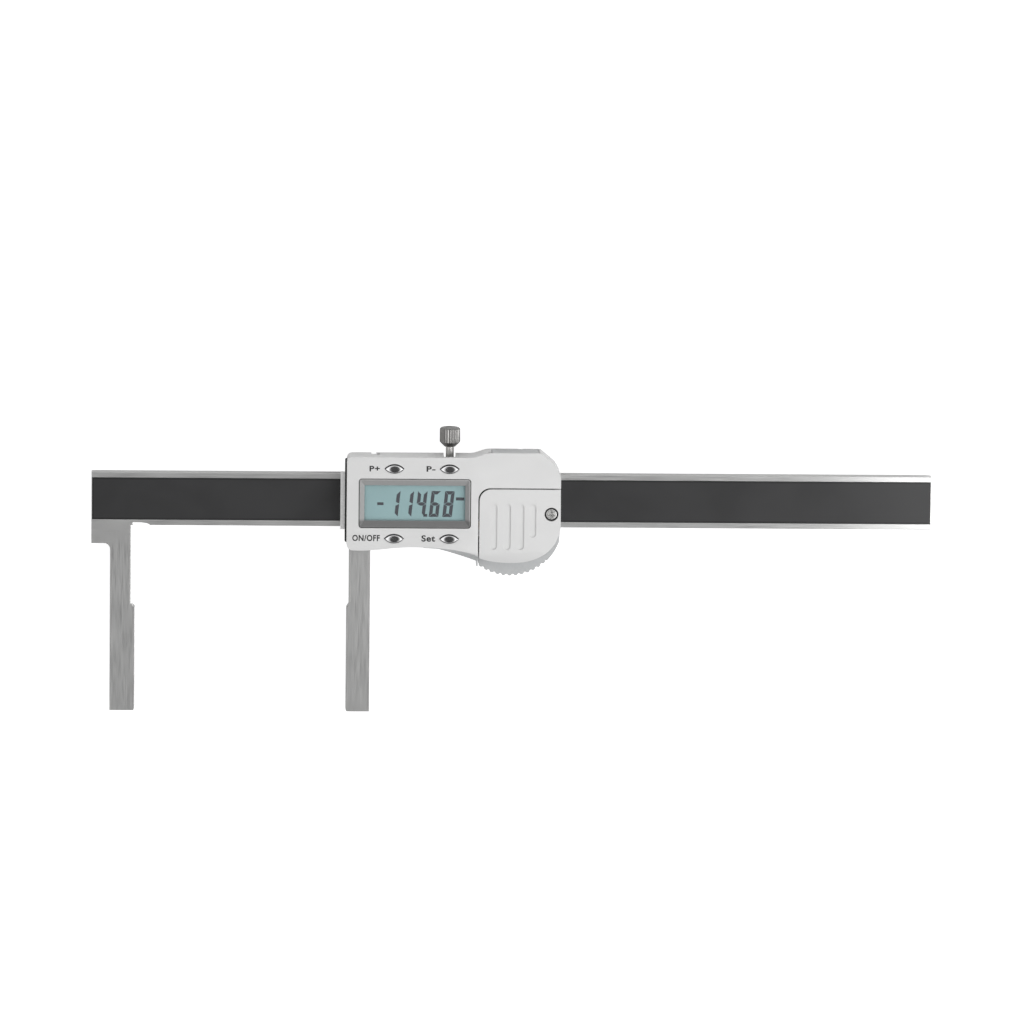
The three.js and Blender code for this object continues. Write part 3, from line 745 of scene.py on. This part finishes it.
def slider_block():
    left, right, pad = (SLIDING_JAW[k] for k in ("left", "right", "pad"))
    block = prism(frame_outline(), FRAME["back"], FRAME["front"])
    jaw = prism(
        [
            (left, -HALF_WIDTH - 1),
            (left, PAD_TOP + 1.2),
            (left - pad, PAD_TOP),
            (left - pad, JAW_TIP + 0.6),
            (left - pad + 0.3, JAW_TIP),
            (right, JAW_TIP),
            (right, -HALF_WIDTH - 1),
        ],
        BEAM_BACK,
        BEAM_FACE,
    )
    gap = 0.12
    length = (FRAME["left"] - 1, FRAME["right"] + 1)
    channel = box(length, (-HALF_WIDTH - gap, FRAME["channel"]), (0, BEAM_FACE + gap))
    window = box(SENSOR_WINDOW["x"], SENSOR_WINDOW["y"], (0, FRAME["front"] + 1))
    edge = edge_bevel(left, PAD_TOP + 1.6, -FRAME["half"], -0.4, 0.3)
    lock_hole = cylinder(0, 0, KNOB_SIZE["shaft"] + 0.12, FRAME["channel"] - 1, FRAME["half"] + 1)
    cut(join(block, jaw), channel, window, edge, lay_along_y(lock_hole, KNOB.x, KNOB.z))
    round_edges(block, 0.18)
    finished(block, "slider_block", "slider", SURFACES["jaw_steel"], ["slider_frame"])


def thumb_rest():
    """The serrated arc that the thumb pushes, plain where it rises beside the case's right end."""
    radius, shoulder, inner = (THUMB[k] for k in ("radius", "shoulder", "inner"))
    start, end = TEETH["start"], TEETH["end"]
    low, high = span("thumb_rest")
    pitch = (end - start) / TEETH["count"]

    def on_arc(degrees, r):
        angle = math.radians(degrees)
        return (THUMB["x"] + r * math.cos(angle), THUMB["y"] + r * math.sin(angle))

    points = [(low.x, high.y - 3.5), (low.x, -18.6)]
    steps = 10
    for tooth in range(TEETH["count"]):
        for step in range(steps):
            along = step / steps
            rise = min(1.0, 1.35 * (0.5 - 0.5 * math.cos(2 * math.pi * along)))
            points.append(on_arc(start + (tooth + along) * pitch, radius - TEETH["depth"] * (1 - rise)))
    plain_steps = 12
    for step in range(plain_steps + 1):
        points.append(on_arc(end + step / plain_steps * (THUMB["plain_to"] - end), radius))
    points += [
        (CASE["right"] - 0.05, shoulder),
        (inner, shoulder),
        (inner, high.y - 2.2),
        (inner - 1.25, high.y - 3.5),
    ]
    rest = prism(points, BEAM_BACK, FRAME["front"] - 0.02)
    round_edges(rest, 0.3)
    finished(rest, "thumb_grip", "slider", SURFACES["thumb_silver"], ["thumb_rest"])


# ---- case ----


def below_face_edge(drop=0.0):
    """What lies under the curve that ends the case's face beside the battery door, lowered by drop."""
    start = (LIP["left"], LIP["start"] - drop)
    bends = [(-20.5, -13.05 - drop), (-14.8, -13.8 - drop), (LIP["right"], -15.4 - drop)]
    end = BEYOND["chin"]
    return [(LIP["left"], end), start, *bezier(start, *bends, steps=12), (LIP["right"], end)]


def lower_lip():
    """The grey lip that slopes out from under the face beside the battery door, and its small toe."""
    left, right = LIP["left"], LIP["right"]
    start = (left, LIP["start"])
    lip_edge = [start, *bezier(start, (-21, -14.3), (-15.5, -15.8), (right, -17.8), steps=12)]
    top_edge = below_face_edge(LIP["ledge"])[1:-1]
    closed = [(right, LIP["inside"]), (left, LIP["inside"])]
    lip = loft(
        [
            (lip_edge + closed, CASE_SEAT),
            (lip_edge + closed, LIP["slope_foot"]),
            (top_edge + closed, CASE_FACE - LIP["ledge"]),
        ]
    )
    end = TOE["end"]
    toe = [(right - 1.05, -16), (right - 0.6, -17.5), (right - 0.45, end), (right, end), (right, -16)]
    join(lip, prism(toe, CASE_SEAT, TOE["top"]))
    common(lip, prism(below_face_edge(), CASE_SEAT - 1, CASE_FACE))
    round_edges(lip, 0.1)
    finished(lip, "lower_lip", "slider", SURFACES["thumb_silver"])


def chin_bevel():
    """What is cut away so that the face slopes towards its chin."""
    wedge = box((-40, 40), (-20, 0), (0, 4))
    place = Matrix.Translation((0, CHIN_BEVEL["y"], CASE_FACE))
    wedge.data.transform(place @ Matrix.Rotation(CHIN_BEVEL["slope"], 4, "X"))
    return wedge


def button_at(key):
    at = middle(f"button_{key}")
    return at.x, at.y


def frame_room():
    """The room that the frame takes up inside the case's open underside."""
    clearance = 0.3
    height = (0, CASE_SEAT)
    return join(
        prism(frame_outline(-clearance), *height),
        box((BEYOND["left"], 0), (BEYOND["bottom"], FRAME["half"] + clearance), height),
        box((-1, BEYOND["right"]), (BEYOND["bottom"], FRAME_CORNER["y"]), height),
    )


def top_side_notches():
    """The gib screws' notches and the blind slot in the case's top side, and the port cover's nail notch."""
    tools = []
    half = GIB_NOTCH_WIDTH / 2
    for x, height in GIB_NOTCHES:
        tools.append(box((x - half, x + half), (12, BEYOND["top"]), (SKIRT - 1, SKIRT + height)))
    for notch in (TOP_SLOT, NAIL_NOTCH):
        x, z = (notch["left"], notch["right"]), (notch["low"], notch["high"])
        tools.append(box(x, (notch["floor"], BEYOND["top"]), z))
    return tools


def over_contact(margin, z):
    """A box round the battery's contact beside its cell."""
    x = (CONTACT["left"], CONTACT["right"])
    return box(x, (CONTACT["low"] - margin, CONTACT["high"] + margin), z)


def seam_channel():
    """The deep narrow channel round the battery door. It stops over the battery's contact."""
    channel = prism(door_outline(SEAM["outer"]), SEAM["depth"], CASE_INSIDE + 0.1)
    return cut(channel, prism(door_outline(-0.5), 0, 20), over_contact(0.2, (0, CASE_INSIDE)))


def case_shell():
    half = FRAME["half"]
    shell = prism(case_outline(), SKIRT, CASE_FACE)
    cut(shell, prism(below_face_edge(), SKIRT - 1, CASE_FACE + 1))
    upper = prism(case_outline(WALL), HOLLOW_FLOOR, CASE_INSIDE)
    lower = prism(case_outline(WALL), SKIRT - 1, HOLLOW_FLOOR + 0.001)
    common(lower, box((BEYOND["left"], BEYOND["right"]), (-12.3, half + 0.3), (0, 9)))
    cut(shell, upper, lower, frame_room())
    ledge = common(prism(case_outline(WALL / 2), 10.7, CASE_INSIDE), prism(door_outline(WALL), 10, 12))
    posts = [cylinder(at.x, at.y, POST["radius"], HOLLOW_FLOOR, CASE_INSIDE + 0.1) for at in CASE_SCREWS]
    door_post = (DOOR_SCREW.x, DOOR_SCREW.y, POST["door_radius"], HOLLOW_FLOOR, CASE_INSIDE - 0.02)
    posts.append(cylinder(*door_post))
    join(shell, ledge, *posts)

    low, high = span("lcd_bezel")
    gap = 0.22
    display_hole = round_rectangle(low.x - gap, high.x + gap, low.y - gap, high.y + gap, 1)
    tools = [
        prism(display_hole, low.z - 1, CASE_FACE + 1),
        prism(door_outline(SEAM["outer"]), CASE_INSIDE, CASE_FACE + 1),
        seam_channel(),
        cylinder(CELL.x, CELL.y, CELL_POCKET, HOLLOW_FLOOR - 0.1, CASE_FACE, 72),
        over_contact(0, (HOLLOW_FLOOR - 0.1, CASE_INSIDE - 0.08)),
        box(
            (KNOB.x - KNOB_GAP["left"], KNOB.x + KNOB_GAP["right"]),
            (half, CASE["top"] + 1),
            (0, KNOB_GAP["top"]),
        ),
        cylinder(DOOR_SCREW.x, DOOR_SCREW.y, 0.9, HOLLOW_FLOOR - 0.1, CASE_FACE, 24),
        chin_bevel(),
    ]
    for key in BUTTON_KEYS:
        x, y = button_at(key)
        tools.append(prism(lens(x, y, BUTTON["length"] + 0.3, BUTTON["height"] + 0.24), 10, CASE_FACE + 1))
    port_low, port_high = span("data_port_cover")
    gap = 0.12
    across = (port_low.x - gap, port_high.x + gap)
    tools.append(box(across, (12, BEYOND["top"]), (PORT_HOLE["low"], PORT_HOLE["high"])))
    cut(shell, *tools, *top_side_notches())
    round_edges(shell, 0.22)
    finished(shell, "case_shell", "slider", SURFACES["silver_case"], ["front_cover"])


def left_side_shade_strip():
    """A black strip under the case's left edge, a dark thing put where the case's shaded left side wall shows
    as a dark line: painted shade.
    """
    low, high = CASE_BOTTOM["low"] + 1.6, CASE["top"] - 1.2
    outline = round_rectangle(CASE_LOW.x, CASE["left"] + 0.6, low, high, 0.5, 6)
    dark_strip = prism(outline, CASE_SEAT, CASE_SEAT + SHADE_STRIP["rise"])
    round_edges(dark_strip, 0.1)
    finished(dark_strip, "left_side_shade_strip", "slider", SURFACES["black_plastic"])


def port_cover():
    low, high = span("data_port_cover")
    cover = box((low.x, high.x), (high.y - 1.15, high.y), (low.z, high.z))
    plug = box((-4, 5.8), (low.y, high.y - 1), (6, 9.4))
    join(cover, plug)
    round_edges(cover, 0.15)
    finished(
        cover, "port_cover", "data_port_cover", SURFACES["thumb_silver"], ["data_port_cover"]
    )


# ---- display ----


def display_bezel():
    low, high = span("lcd_bezel")
    outer = prism(round_rectangle(low.x, high.x, low.y, high.y, 0.8), low.z, high.z)
    x, y = middle("lcd_bezel").xy
    half_length, half_height, rim = (VIEW[k] for k in ("half_length", "half_height", "rim"))

    def opening(across, along):
        return rectangle(x - across, x + across, y - along, y + along)

    inner = (opening(half_length, half_height), high.z - 1.1)
    outer_edge = (opening(x - low.x - rim, y - low.y - rim), high.z + 0.02)
    rabbet = prism(opening(half_length + 0.9, half_height + 1.05), low.z - 1, high.z - 1.05)
    cut(outer, loft([inner, outer_edge]), rabbet)
    round_edges(outer, 0.1)
    finished(outer, "display_frame", "slider", SURFACES["bezel_grey"], ["lcd_bezel"])


def display_pane():
    low, high = span("display_window")
    pane = box((low.x, high.x), (low.y, high.y), (low.z, high.z))
    round_edges(pane, 0.08, 2)
    finished(pane, "display_pane", "slider", SURFACES["window_clear"], ["display_window"])


def lcd_cell():
    low, high = span("lcd_panel")
    cell = box((low.x, high.x), (low.y, high.y), (low.z, high.z))
    round_edges(cell, 0.08, 2)
    finished(cell, "lcd_cell", "slider", SURFACES["lcd_glass"], ["lcd_panel"])


DIGITS = {"1": "BC", "4": "BCFG", "6": "ACDEFG", "8": "ABCDEFG"}
DIGIT = {"width": 2.86, "height": 7.85, "stroke": 1.02, "gap": 0.055, "pitch": 4.05, "slant": 6.0}


def segment_outlines(shown, x, y):
    """The outlines of one digit's lit segments, with mitred ends. x, y is the middle of its right edge."""
    half, rise = DIGIT["width"] / 2, DIGIT["height"] / 2
    stroke, gap = DIGIT["stroke"], DIGIT["gap"]
    upper = [(gap - half, rise), (half - gap, rise), (half - stroke - gap, rise - stroke),
             (stroke + gap - half, rise - stroke)]
    side = [(half, rise - gap), (half, gap), (half - stroke, stroke / 2 + gap),
            (half - stroke, rise - stroke - gap)]
    centre = [(half - 3 * gap, 0), (half - stroke - gap, stroke / 2), (stroke + gap - half, stroke / 2),
              (3 * gap - half, 0), (stroke + gap - half, -stroke / 2), (half - stroke - gap, -stroke / 2)]
    segments = {
        "A": (upper, 1, 1),
        "B": (side, 1, 1),
        "C": (side, 1, -1),
        "D": (upper, 1, -1),
        "E": (side, -1, -1),
        "F": (side, -1, 1),
        "G": (centre, 1, 1),
    }
    slant = math.tan(math.radians(DIGIT["slant"]))
    outlines = []
    for name in DIGITS[shown]:
        outline, flip_x, flip_y = segments[name]
        placed = [(px * flip_x, py * flip_y) for px, py in outline]
        outlines.append([(x - half + px + slant * py, y + py) for px, py in placed])
    return outlines


def lcd_reading():
    """The digits and marks of the reading, as one thin layer on the liquid crystal cell."""
    top = span("lcd_panel")[1].z
    centre = middle("lcd_panel")
    first_edge = centre.x - 4.68
    middle_line = centre.y - 0.37
    outlines = []
    for place, shown in enumerate("11468"):
        outlines += segment_outlines(shown, first_edge + place * DIGIT["pitch"], middle_line)
    minus, dot, unit_bar = Vector((-11.25, -0.8)), Vector((2.55, -4.25)), Vector((12.3, 0.75))
    for corner, size in ((minus, (1.9, 0.85)), (dot, (1.2, 0.85)), (unit_bar, (2.5, 0.92))):
        x, y = centre.x + corner.x, centre.y + corner.y
        outlines.append(rectangle(x, x + size[0], y, y + size[1]))
    reading = stamped(outlines, top, top + 0.03)
    finished(reading, "lcd_reading", "slider", SURFACES["lcd_ink"])


def stamped(outlines, low, high):
    """Several separate prisms as one object."""
    vertices, faces = [], []
    for outline in outlines:
        part = prism(outline, low, high)
        offset = len(vertices)
        vertices += [v.co.copy() for v in part.data.vertices]
        faces += [tuple(offset + i for i in face.vertices) for face in part.data.polygons]
        bpy.data.objects.remove(part)
    return new_object("draft", vertices, faces)


# ---- buttons ----


def push_button(key):
    """A lens-shaped key: a crowned chrome cap in a black base, whose black shows in the gap round the cap as
    a thin dark line of painted shade, and which has a wider flange inside the case."""
    x, y = button_at(key)
    length, height = BUTTON["length"], BUTTON["height"]
    cap_y = y - 0.07
    foot, waist = 12.2, 12.6
    rim, rim_share, crown = 0.15, 0.06, 0.24
    shoulder = BUTTON["top"] - rim
    outline = lens(x, cap_y, length - 0.4, height - 0.45, 28)
    levels = [(outline, foot), (outline, waist), (outline, shoulder)]
    for degrees in range(15, 91, 15):
        angle = math.radians(degrees)
        smaller = scaled(outline, x, cap_y, 1 - rim_share * (1 - math.cos(angle)))
        levels.append((smaller, shoulder + rim * math.sin(angle)))
    rings = 10
    for ring in range(1, rings):
        levels.append((scaled(outline, x, cap_y, (1 - rim_share) * (1 - ring / rings)), BUTTON["top"]))
    levels.append((scaled(outline, x, cap_y, 0.01), BUTTON["top"]))
    cap = loft(levels)
    for vertex in cap.data.vertices:
        if vertex.co.z > waist + 0.01:
            along, across = (vertex.co.x - x) / length * 2, (vertex.co.y - cap_y) / height * 2
            vertex.co.z -= crown * (along**2 + 0.9 * across**2)
    body = f"button_{key}"
    finished(cap, f"key_{key}", body, SURFACES["button_chrome"], [body], smooth=50)

    # The black base shows in the gap round the cap as a thin dark line: painted shade.
    base = prism(lens(x, y, length + 0.12, height + 0.1, 28), BUTTON["flange"] + 0.6, CASE_FACE - 0.12)
    flange = prism(lens(x, y, length + 1.2, height + 0.7), BUTTON["flange"], CASE_INSIDE - 0.05)
    join(base, flange, cylinder(x, y, BUTTON["stem"], BUTTON["flange"] - 0.5, BUTTON["flange"] + 0.1, 24))
    finished(base, f"key_shade_base_{key}", body, SURFACES["black_plastic"])


# ---- battery door ----


def cross_recess(x, y, size, low, high):
    """What is cut away for a cross-head driver: two slots that narrow towards their floor."""

    def slot(half_length, half_width):
        top = rectangle(x - half_length, x + half_length, y - half_width, y + half_width)
        return loft([(scaled(top, x, y, 0.35), low), (top, high)])

    half, thin = size / 2, size * 0.17
    return join(slot(half, thin), slot(thin, half))


def door_plate():
    plate = prism(case_outline(0.05), CASE_INSIDE + 0.02, CASE_FACE)
    common(plate, prism(door_outline(-SEAM["inner"]), 0, 20))
    half = GROOVE["width"] / 2
    tools = []
    for x, low in GROOVES:
        outline = round_rectangle(x - half, x + half, low, GROOVE["top"], half - 0.01, 12)
        tools.append(prism(outline, CASE_FACE - GROOVE["depth"], CASE_FACE + 1))
    x, y, top = DOOR_SCREW.x, DOOR_SCREW.y, SCREW_SEAT["top"]
    tools.append(cylinder(x, y, SCREW_SEAT["radius"], SCREW_SEAT["floor"], top))
    tools.append(cylinder(x, y, SCREW_SEAT["hole"], 11, top, 24))
    cut(plate, *tools, chin_bevel())
    round_edges(plate, 0.16)
    finished(plate, "door_plate", "battery_door", SURFACES["silver_case"], ["battery_door"])


def door_screw():
    x, y = DOOR_SCREW.x, DOOR_SCREW.y
    radius, under, top, shank, cross = (SCREW_HEAD[k] for k in ("radius", "under", "top", "shank", "cross"))
    end = 9
    edge = 0.2
    profile = [(0, end), (shank, end), (shank, under), (radius, under)]
    profile += arc(radius - edge, top - edge, edge, 0, 90, 5)
    profile += [(0.6, top), (0, top + 0.05)]
    screw = cut(turned(profile, x, y), cross_recess(x, y, cross, under - 0.03, top + 0.06))
    finished(
        screw, "door_screw", "battery_door", SURFACES["fastener_steel"],
        ["battery_door_screw"],
    )


def screw_ring_shade():
    """A black ring in the screw's seat, round its head, that stands in for the shade in the gap there:
    painted shade.
    """
    x, y = DOOR_SCREW.x, DOOR_SCREW.y
    low, high = SCREW_SEAT["floor"] + 0.01, SCREW_HEAD["under"] - 0.02
    dark_ring = cylinder(x, y, SCREW_SEAT["radius"] - 0.03, low, high)
    cut(dark_ring, cylinder(x, y, SCREW_HEAD["shank"] + 0.08, low - 1, high + 1))
    finished(dark_ring, "screw_ring_shade", "battery_door", SURFACES["black_plastic"])


def coin_cell():
    low, high = span("battery_cell")
    radius = (high.x - low.x) / 2
    cap = 8.4
    rim = low.z + 0.4
    profile = [(0, low.z), (cap, low.z), (cap + 0.4, rim), (radius - 0.15, rim), (radius, rim + 0.15)]
    profile += [(radius, high.z - 0.3), (radius - 0.08, high.z - 0.08), (radius - 0.3, high.z), (0, high.z)]
    cell = turned(profile, CELL.x, CELL.y, 96)
    finished(cell, "coin_cell", "slider", SURFACES["fastener_steel"], ["battery_cell"])


# ---- lock screw ----


def lock_knob():
    """A knob with straight knurls and a rounded end, over a cone and a plain shaft."""
    radius, knurls, outer, shoulder, shaft = (
        KNOB_SIZE[k] for k in ("radius", "knurls", "outer", "shoulder", "shaft")
    )
    depth = 0.26
    steps = knurls * 6

    def ring(r, knurled):
        points = []
        for i in range(steps):
            angle = 2 * math.pi * i / steps
            wave = 0.5 - 0.5 * math.cos(knurls * angle)
            cut_in = r - depth * wave * knurled
            points.append((cut_in * math.cos(angle), cut_in * math.sin(angle)))
        return points

    tip = span("lock_screw")[0].y
    levels = [
        (ring(0.01, 0), tip),
        (ring(shaft, 0), tip),
        (ring(shaft, 0), KNOB_NECK["y"]),
        (ring(KNOB_NECK["radius"] - 0.15, 0), KNOB_NECK["y"]),
        (ring(KNOB_NECK["radius"], 0), KNOB_NECK["y"] + 0.15),
        (ring(radius - 0.45, 0), shoulder - 0.15),
        (ring(radius - 0.3, 0.2), shoulder),
        (ring(radius, 1), shoulder + 0.35),
        (ring(radius, 1), outer - 0.5),
        (ring(radius - 0.12, 0.7), outer - 0.25),
        (ring(radius - 0.4, 0), outer - 0.05),
        (ring(radius - 0.65, 0), outer),
        (ring(radius - 1.3, 0), outer - 0.02),
        (ring(radius - 1.45, 0), outer - 0.15),
        (ring(0.01, 0), outer - 0.15),
    ]
    knob = lay_along_y(loft(levels), KNOB.x, KNOB.z)
    weld(knob, 0.002)
    face_outwards(knob)
    finished(knob, "lock_knob", "lock_screw", SURFACES["lock_steel"], ["lock_screw"], smooth=50)


# ---- labels ----


def label(name, words, left, right, bottom, top):
    """Plain printed words on the case's face, between left and right and between bottom and top."""
    text = bpy.data.curves.new(name, "FONT")
    text.body = words
    text.size = 2.4
    text.offset = 0.068
    text.space_character = 1.1
    text.extrude = LABEL_RISE
    text.resolution_u = 6
    draft = add_object("draft", text)
    graph = bpy.context.evaluated_depsgraph_get()
    mesh = bpy.data.meshes.new_from_object(draft.evaluated_get(graph))
    bpy.data.objects.remove(draft)
    piece = add_object(name, mesh)
    xs = [v.co.x for v in mesh.vertices]
    ys = [v.co.y for v in mesh.vertices]
    width, height = max(xs) - min(xs), max(ys) - min(ys)
    to_corner = Matrix.Translation((-min(xs), -min(ys), 0))
    stretch = Matrix.Diagonal(((right - left) / width, (top - bottom) / height, 1, 1))
    place = Matrix.Translation((left, bottom, CASE_FACE + LABEL_RISE))
    mesh.transform(place @ stretch @ to_corner)
    finished(piece, name, "slider", SURFACES["label_ink"])


def labels():
    label("label_preset_up", "P+", -42.85, -39.75, 10.05, 11.75)
    label("label_preset_down", "P-", -25.8, -23.15, 10.05, 11.75)
    label("label_on_off", "ON/OFF", -47.85, -39.6, -11.1, -9.2)
    label("label_set", "Set", -27.15, -23.05, -11.15, -9.2)


# ---- the CAD nodes that stay ----

KEPT = {
    "circuit_board": ["scale_pcb", "main_pcb", "sensor_board"],
    "fastener_steel": ["end_stop_screw_1", "end_stop_screw_2", *(f"case_screw_{i}" for i in range(1, 5)),
                       "gib_screw_left", "gib_screw_right"],
    "ground_steel": ["end_stop_plate", "rear_plate"],
    "brass": ["gib_strip", "battery_contact_negative", "battery_contact_positive", "lock_pad"],
    "wiper_felt": ["dust_wiper_left", "dust_wiper_right"],
    "black_plastic": ["zebra_strip_upper", "zebra_strip_lower", "controller_chip", "data_port_socket",
                      *(f"switch_{key}" for key in BUTTON_KEYS)],
}


def paint_kept_nodes():
    for surface, nodes in KEPT.items():
        for name in nodes:
            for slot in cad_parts[name].material_slots:
                slot.material = SURFACES[surface]


# ---- studio ----


def sheet(name, surface, depth):
    """A wide level sheet, depth metres under the caliper."""
    size = 4.0
    corners = [(x, y, 0) for x, y in rectangle(-size, size, -size, size)]
    made = new_object(name, corners, [(0, 1, 2, 3)])
    made.data.materials.append(surface)
    made.location.z = cad_box[0].z - depth
    return made


def floor():
    """White paper for the camera, and a grey table just under it that the caliper reflects."""
    paper = new_material("paper", (0.35, 0.35, 0.35), 0.9)
    shader = paper.node_tree.nodes["Principled BSDF"]
    shader.inputs["Emission Color"].default_value = (1, 1, 1, 1)
    shader.inputs["Emission Strength"].default_value = 0.9
    seen = sheet("floor", paper, 0.0002)
    seen.visible_diffuse = False
    seen.visible_glossy = False
    seen.visible_transmission = False
    seen.visible_shadow = False
    table = sheet("table", new_material("table", (0.85, 0.85, 0.85), 0.9), 0.0004)
    table.visible_camera = False


def softbox(name, place, aim, size, watts):
    lamp = bpy.data.lights.new(name, "AREA")
    lamp.shape = "RECTANGLE"
    lamp.size, lamp.size_y = size
    lamp.energy = watts
    light = add_object(name, lamp)
    light.location = place
    light.rotation_euler = (Vector(aim) - Vector(place)).to_track_quat("-Z", "Y").to_euler()
    light.visible_camera = False


def surroundings():
    """A pale room: bright overhead, dimmer towards the horizon on every side but the right, with a dark card
    above."""
    world = bpy.data.worlds.new("surroundings")
    world.use_nodes = True
    direction = add_node(world, "ShaderNodeTexCoord").outputs["Generated"]
    parts = add_node(world, "ShaderNodeSeparateXYZ", {0: direction})
    card_middle = (0.03, -0.165, 0.986)
    card_size = (0.19, 0.5, 1.0)
    away = add_node(world, "ShaderNodeVectorMath", {0: direction, 1: card_middle}, operation="SUBTRACT")
    spread = add_node(world, "ShaderNodeVectorMath", {0: away.outputs[0], 1: card_size}, operation="DIVIDE")
    distance = add_node(world, "ShaderNodeVectorMath", {0: spread.outputs[0]}, operation="LENGTH")
    ramps = [
        (parts.outputs["X"], (-1.0, 0.2), (0.88, 1.0)),
        (parts.outputs["Y"], (0.0, 1.0), (1.0, 0.8)),
        (parts.outputs["Y"], (-0.9, -0.3), (0.2, 1.0)),
        (parts.outputs["Z"], (0.0, 0.75), (0.4, 1.05)),
        (distance.outputs["Value"], (0.8, 1.1), (0.06, 1.0)),
    ]
    strength = 1.05
    for value, place, level in ramps:
        strength = times(world, map_range(world, value, *place, *level), strength)
    background = world.node_tree.nodes["Background"]
    background.inputs["Color"].default_value = (1, 1, 1, 1)
    world.node_tree.links.new(strength, background.inputs["Strength"])
    bpy.context.scene.world = world


def studio():
    bpy.context.scene.view_settings.view_transform = "Standard"
    surroundings()
    softbox("softbox_right", (1.0, -0.3, 1.0), (0.1, 0, 0), (0.8, 1.2), 9)
    softbox("softbox_end", (0.15, 0.004, 0.105), (0.138, 0.02, 0), (0.05, 0.08), 0.028)
    floor()


def camera():
    """Looks down at the caliper, tilted so that its upper side shows a little."""
    tilt, yaw, roll = math.radians(9.5), math.radians(1.6), math.radians(-0.61)
    distance, view_width, sensor = 3.0, 0.3072, 36
    target = Vector((0.0001, BEAM_Y - 0.003375, 0.00475))
    forward = Vector((math.sin(yaw) * math.cos(tilt), -math.sin(tilt), -math.cos(yaw) * math.cos(tilt)))
    right = Vector((math.cos(yaw), 0, math.sin(yaw)))
    up = right.cross(forward)
    turned_right = right * math.cos(roll) - up * math.sin(roll)
    turned_up = right * math.sin(roll) + up * math.cos(roll)
    lens_data = bpy.data.cameras.new("camera")
    lens_data.sensor_width = sensor
    lens_data.lens = sensor * distance / view_width
    lens_data.clip_start = 0.01
    holder = add_object("camera", lens_data)
    axes = Matrix((turned_right, turned_up, -forward)).transposed().to_4x4()
    holder.matrix_world = Matrix.Translation(target - forward * distance) @ axes
    bpy.context.scene.camera = holder


camera()
studio()
beam_bar()
scale_strip()
slider_block()
thumb_rest()
case_shell()
lower_lip()
left_side_shade_strip()
port_cover()
display_bezel()
display_pane()
lcd_cell()
lcd_reading()
for button_key in BUTTON_KEYS:
    push_button(button_key)
door_plate()
door_screw()
screw_ring_shade()
coin_cell()
lock_knob()
labels()
paint_kept_nodes()
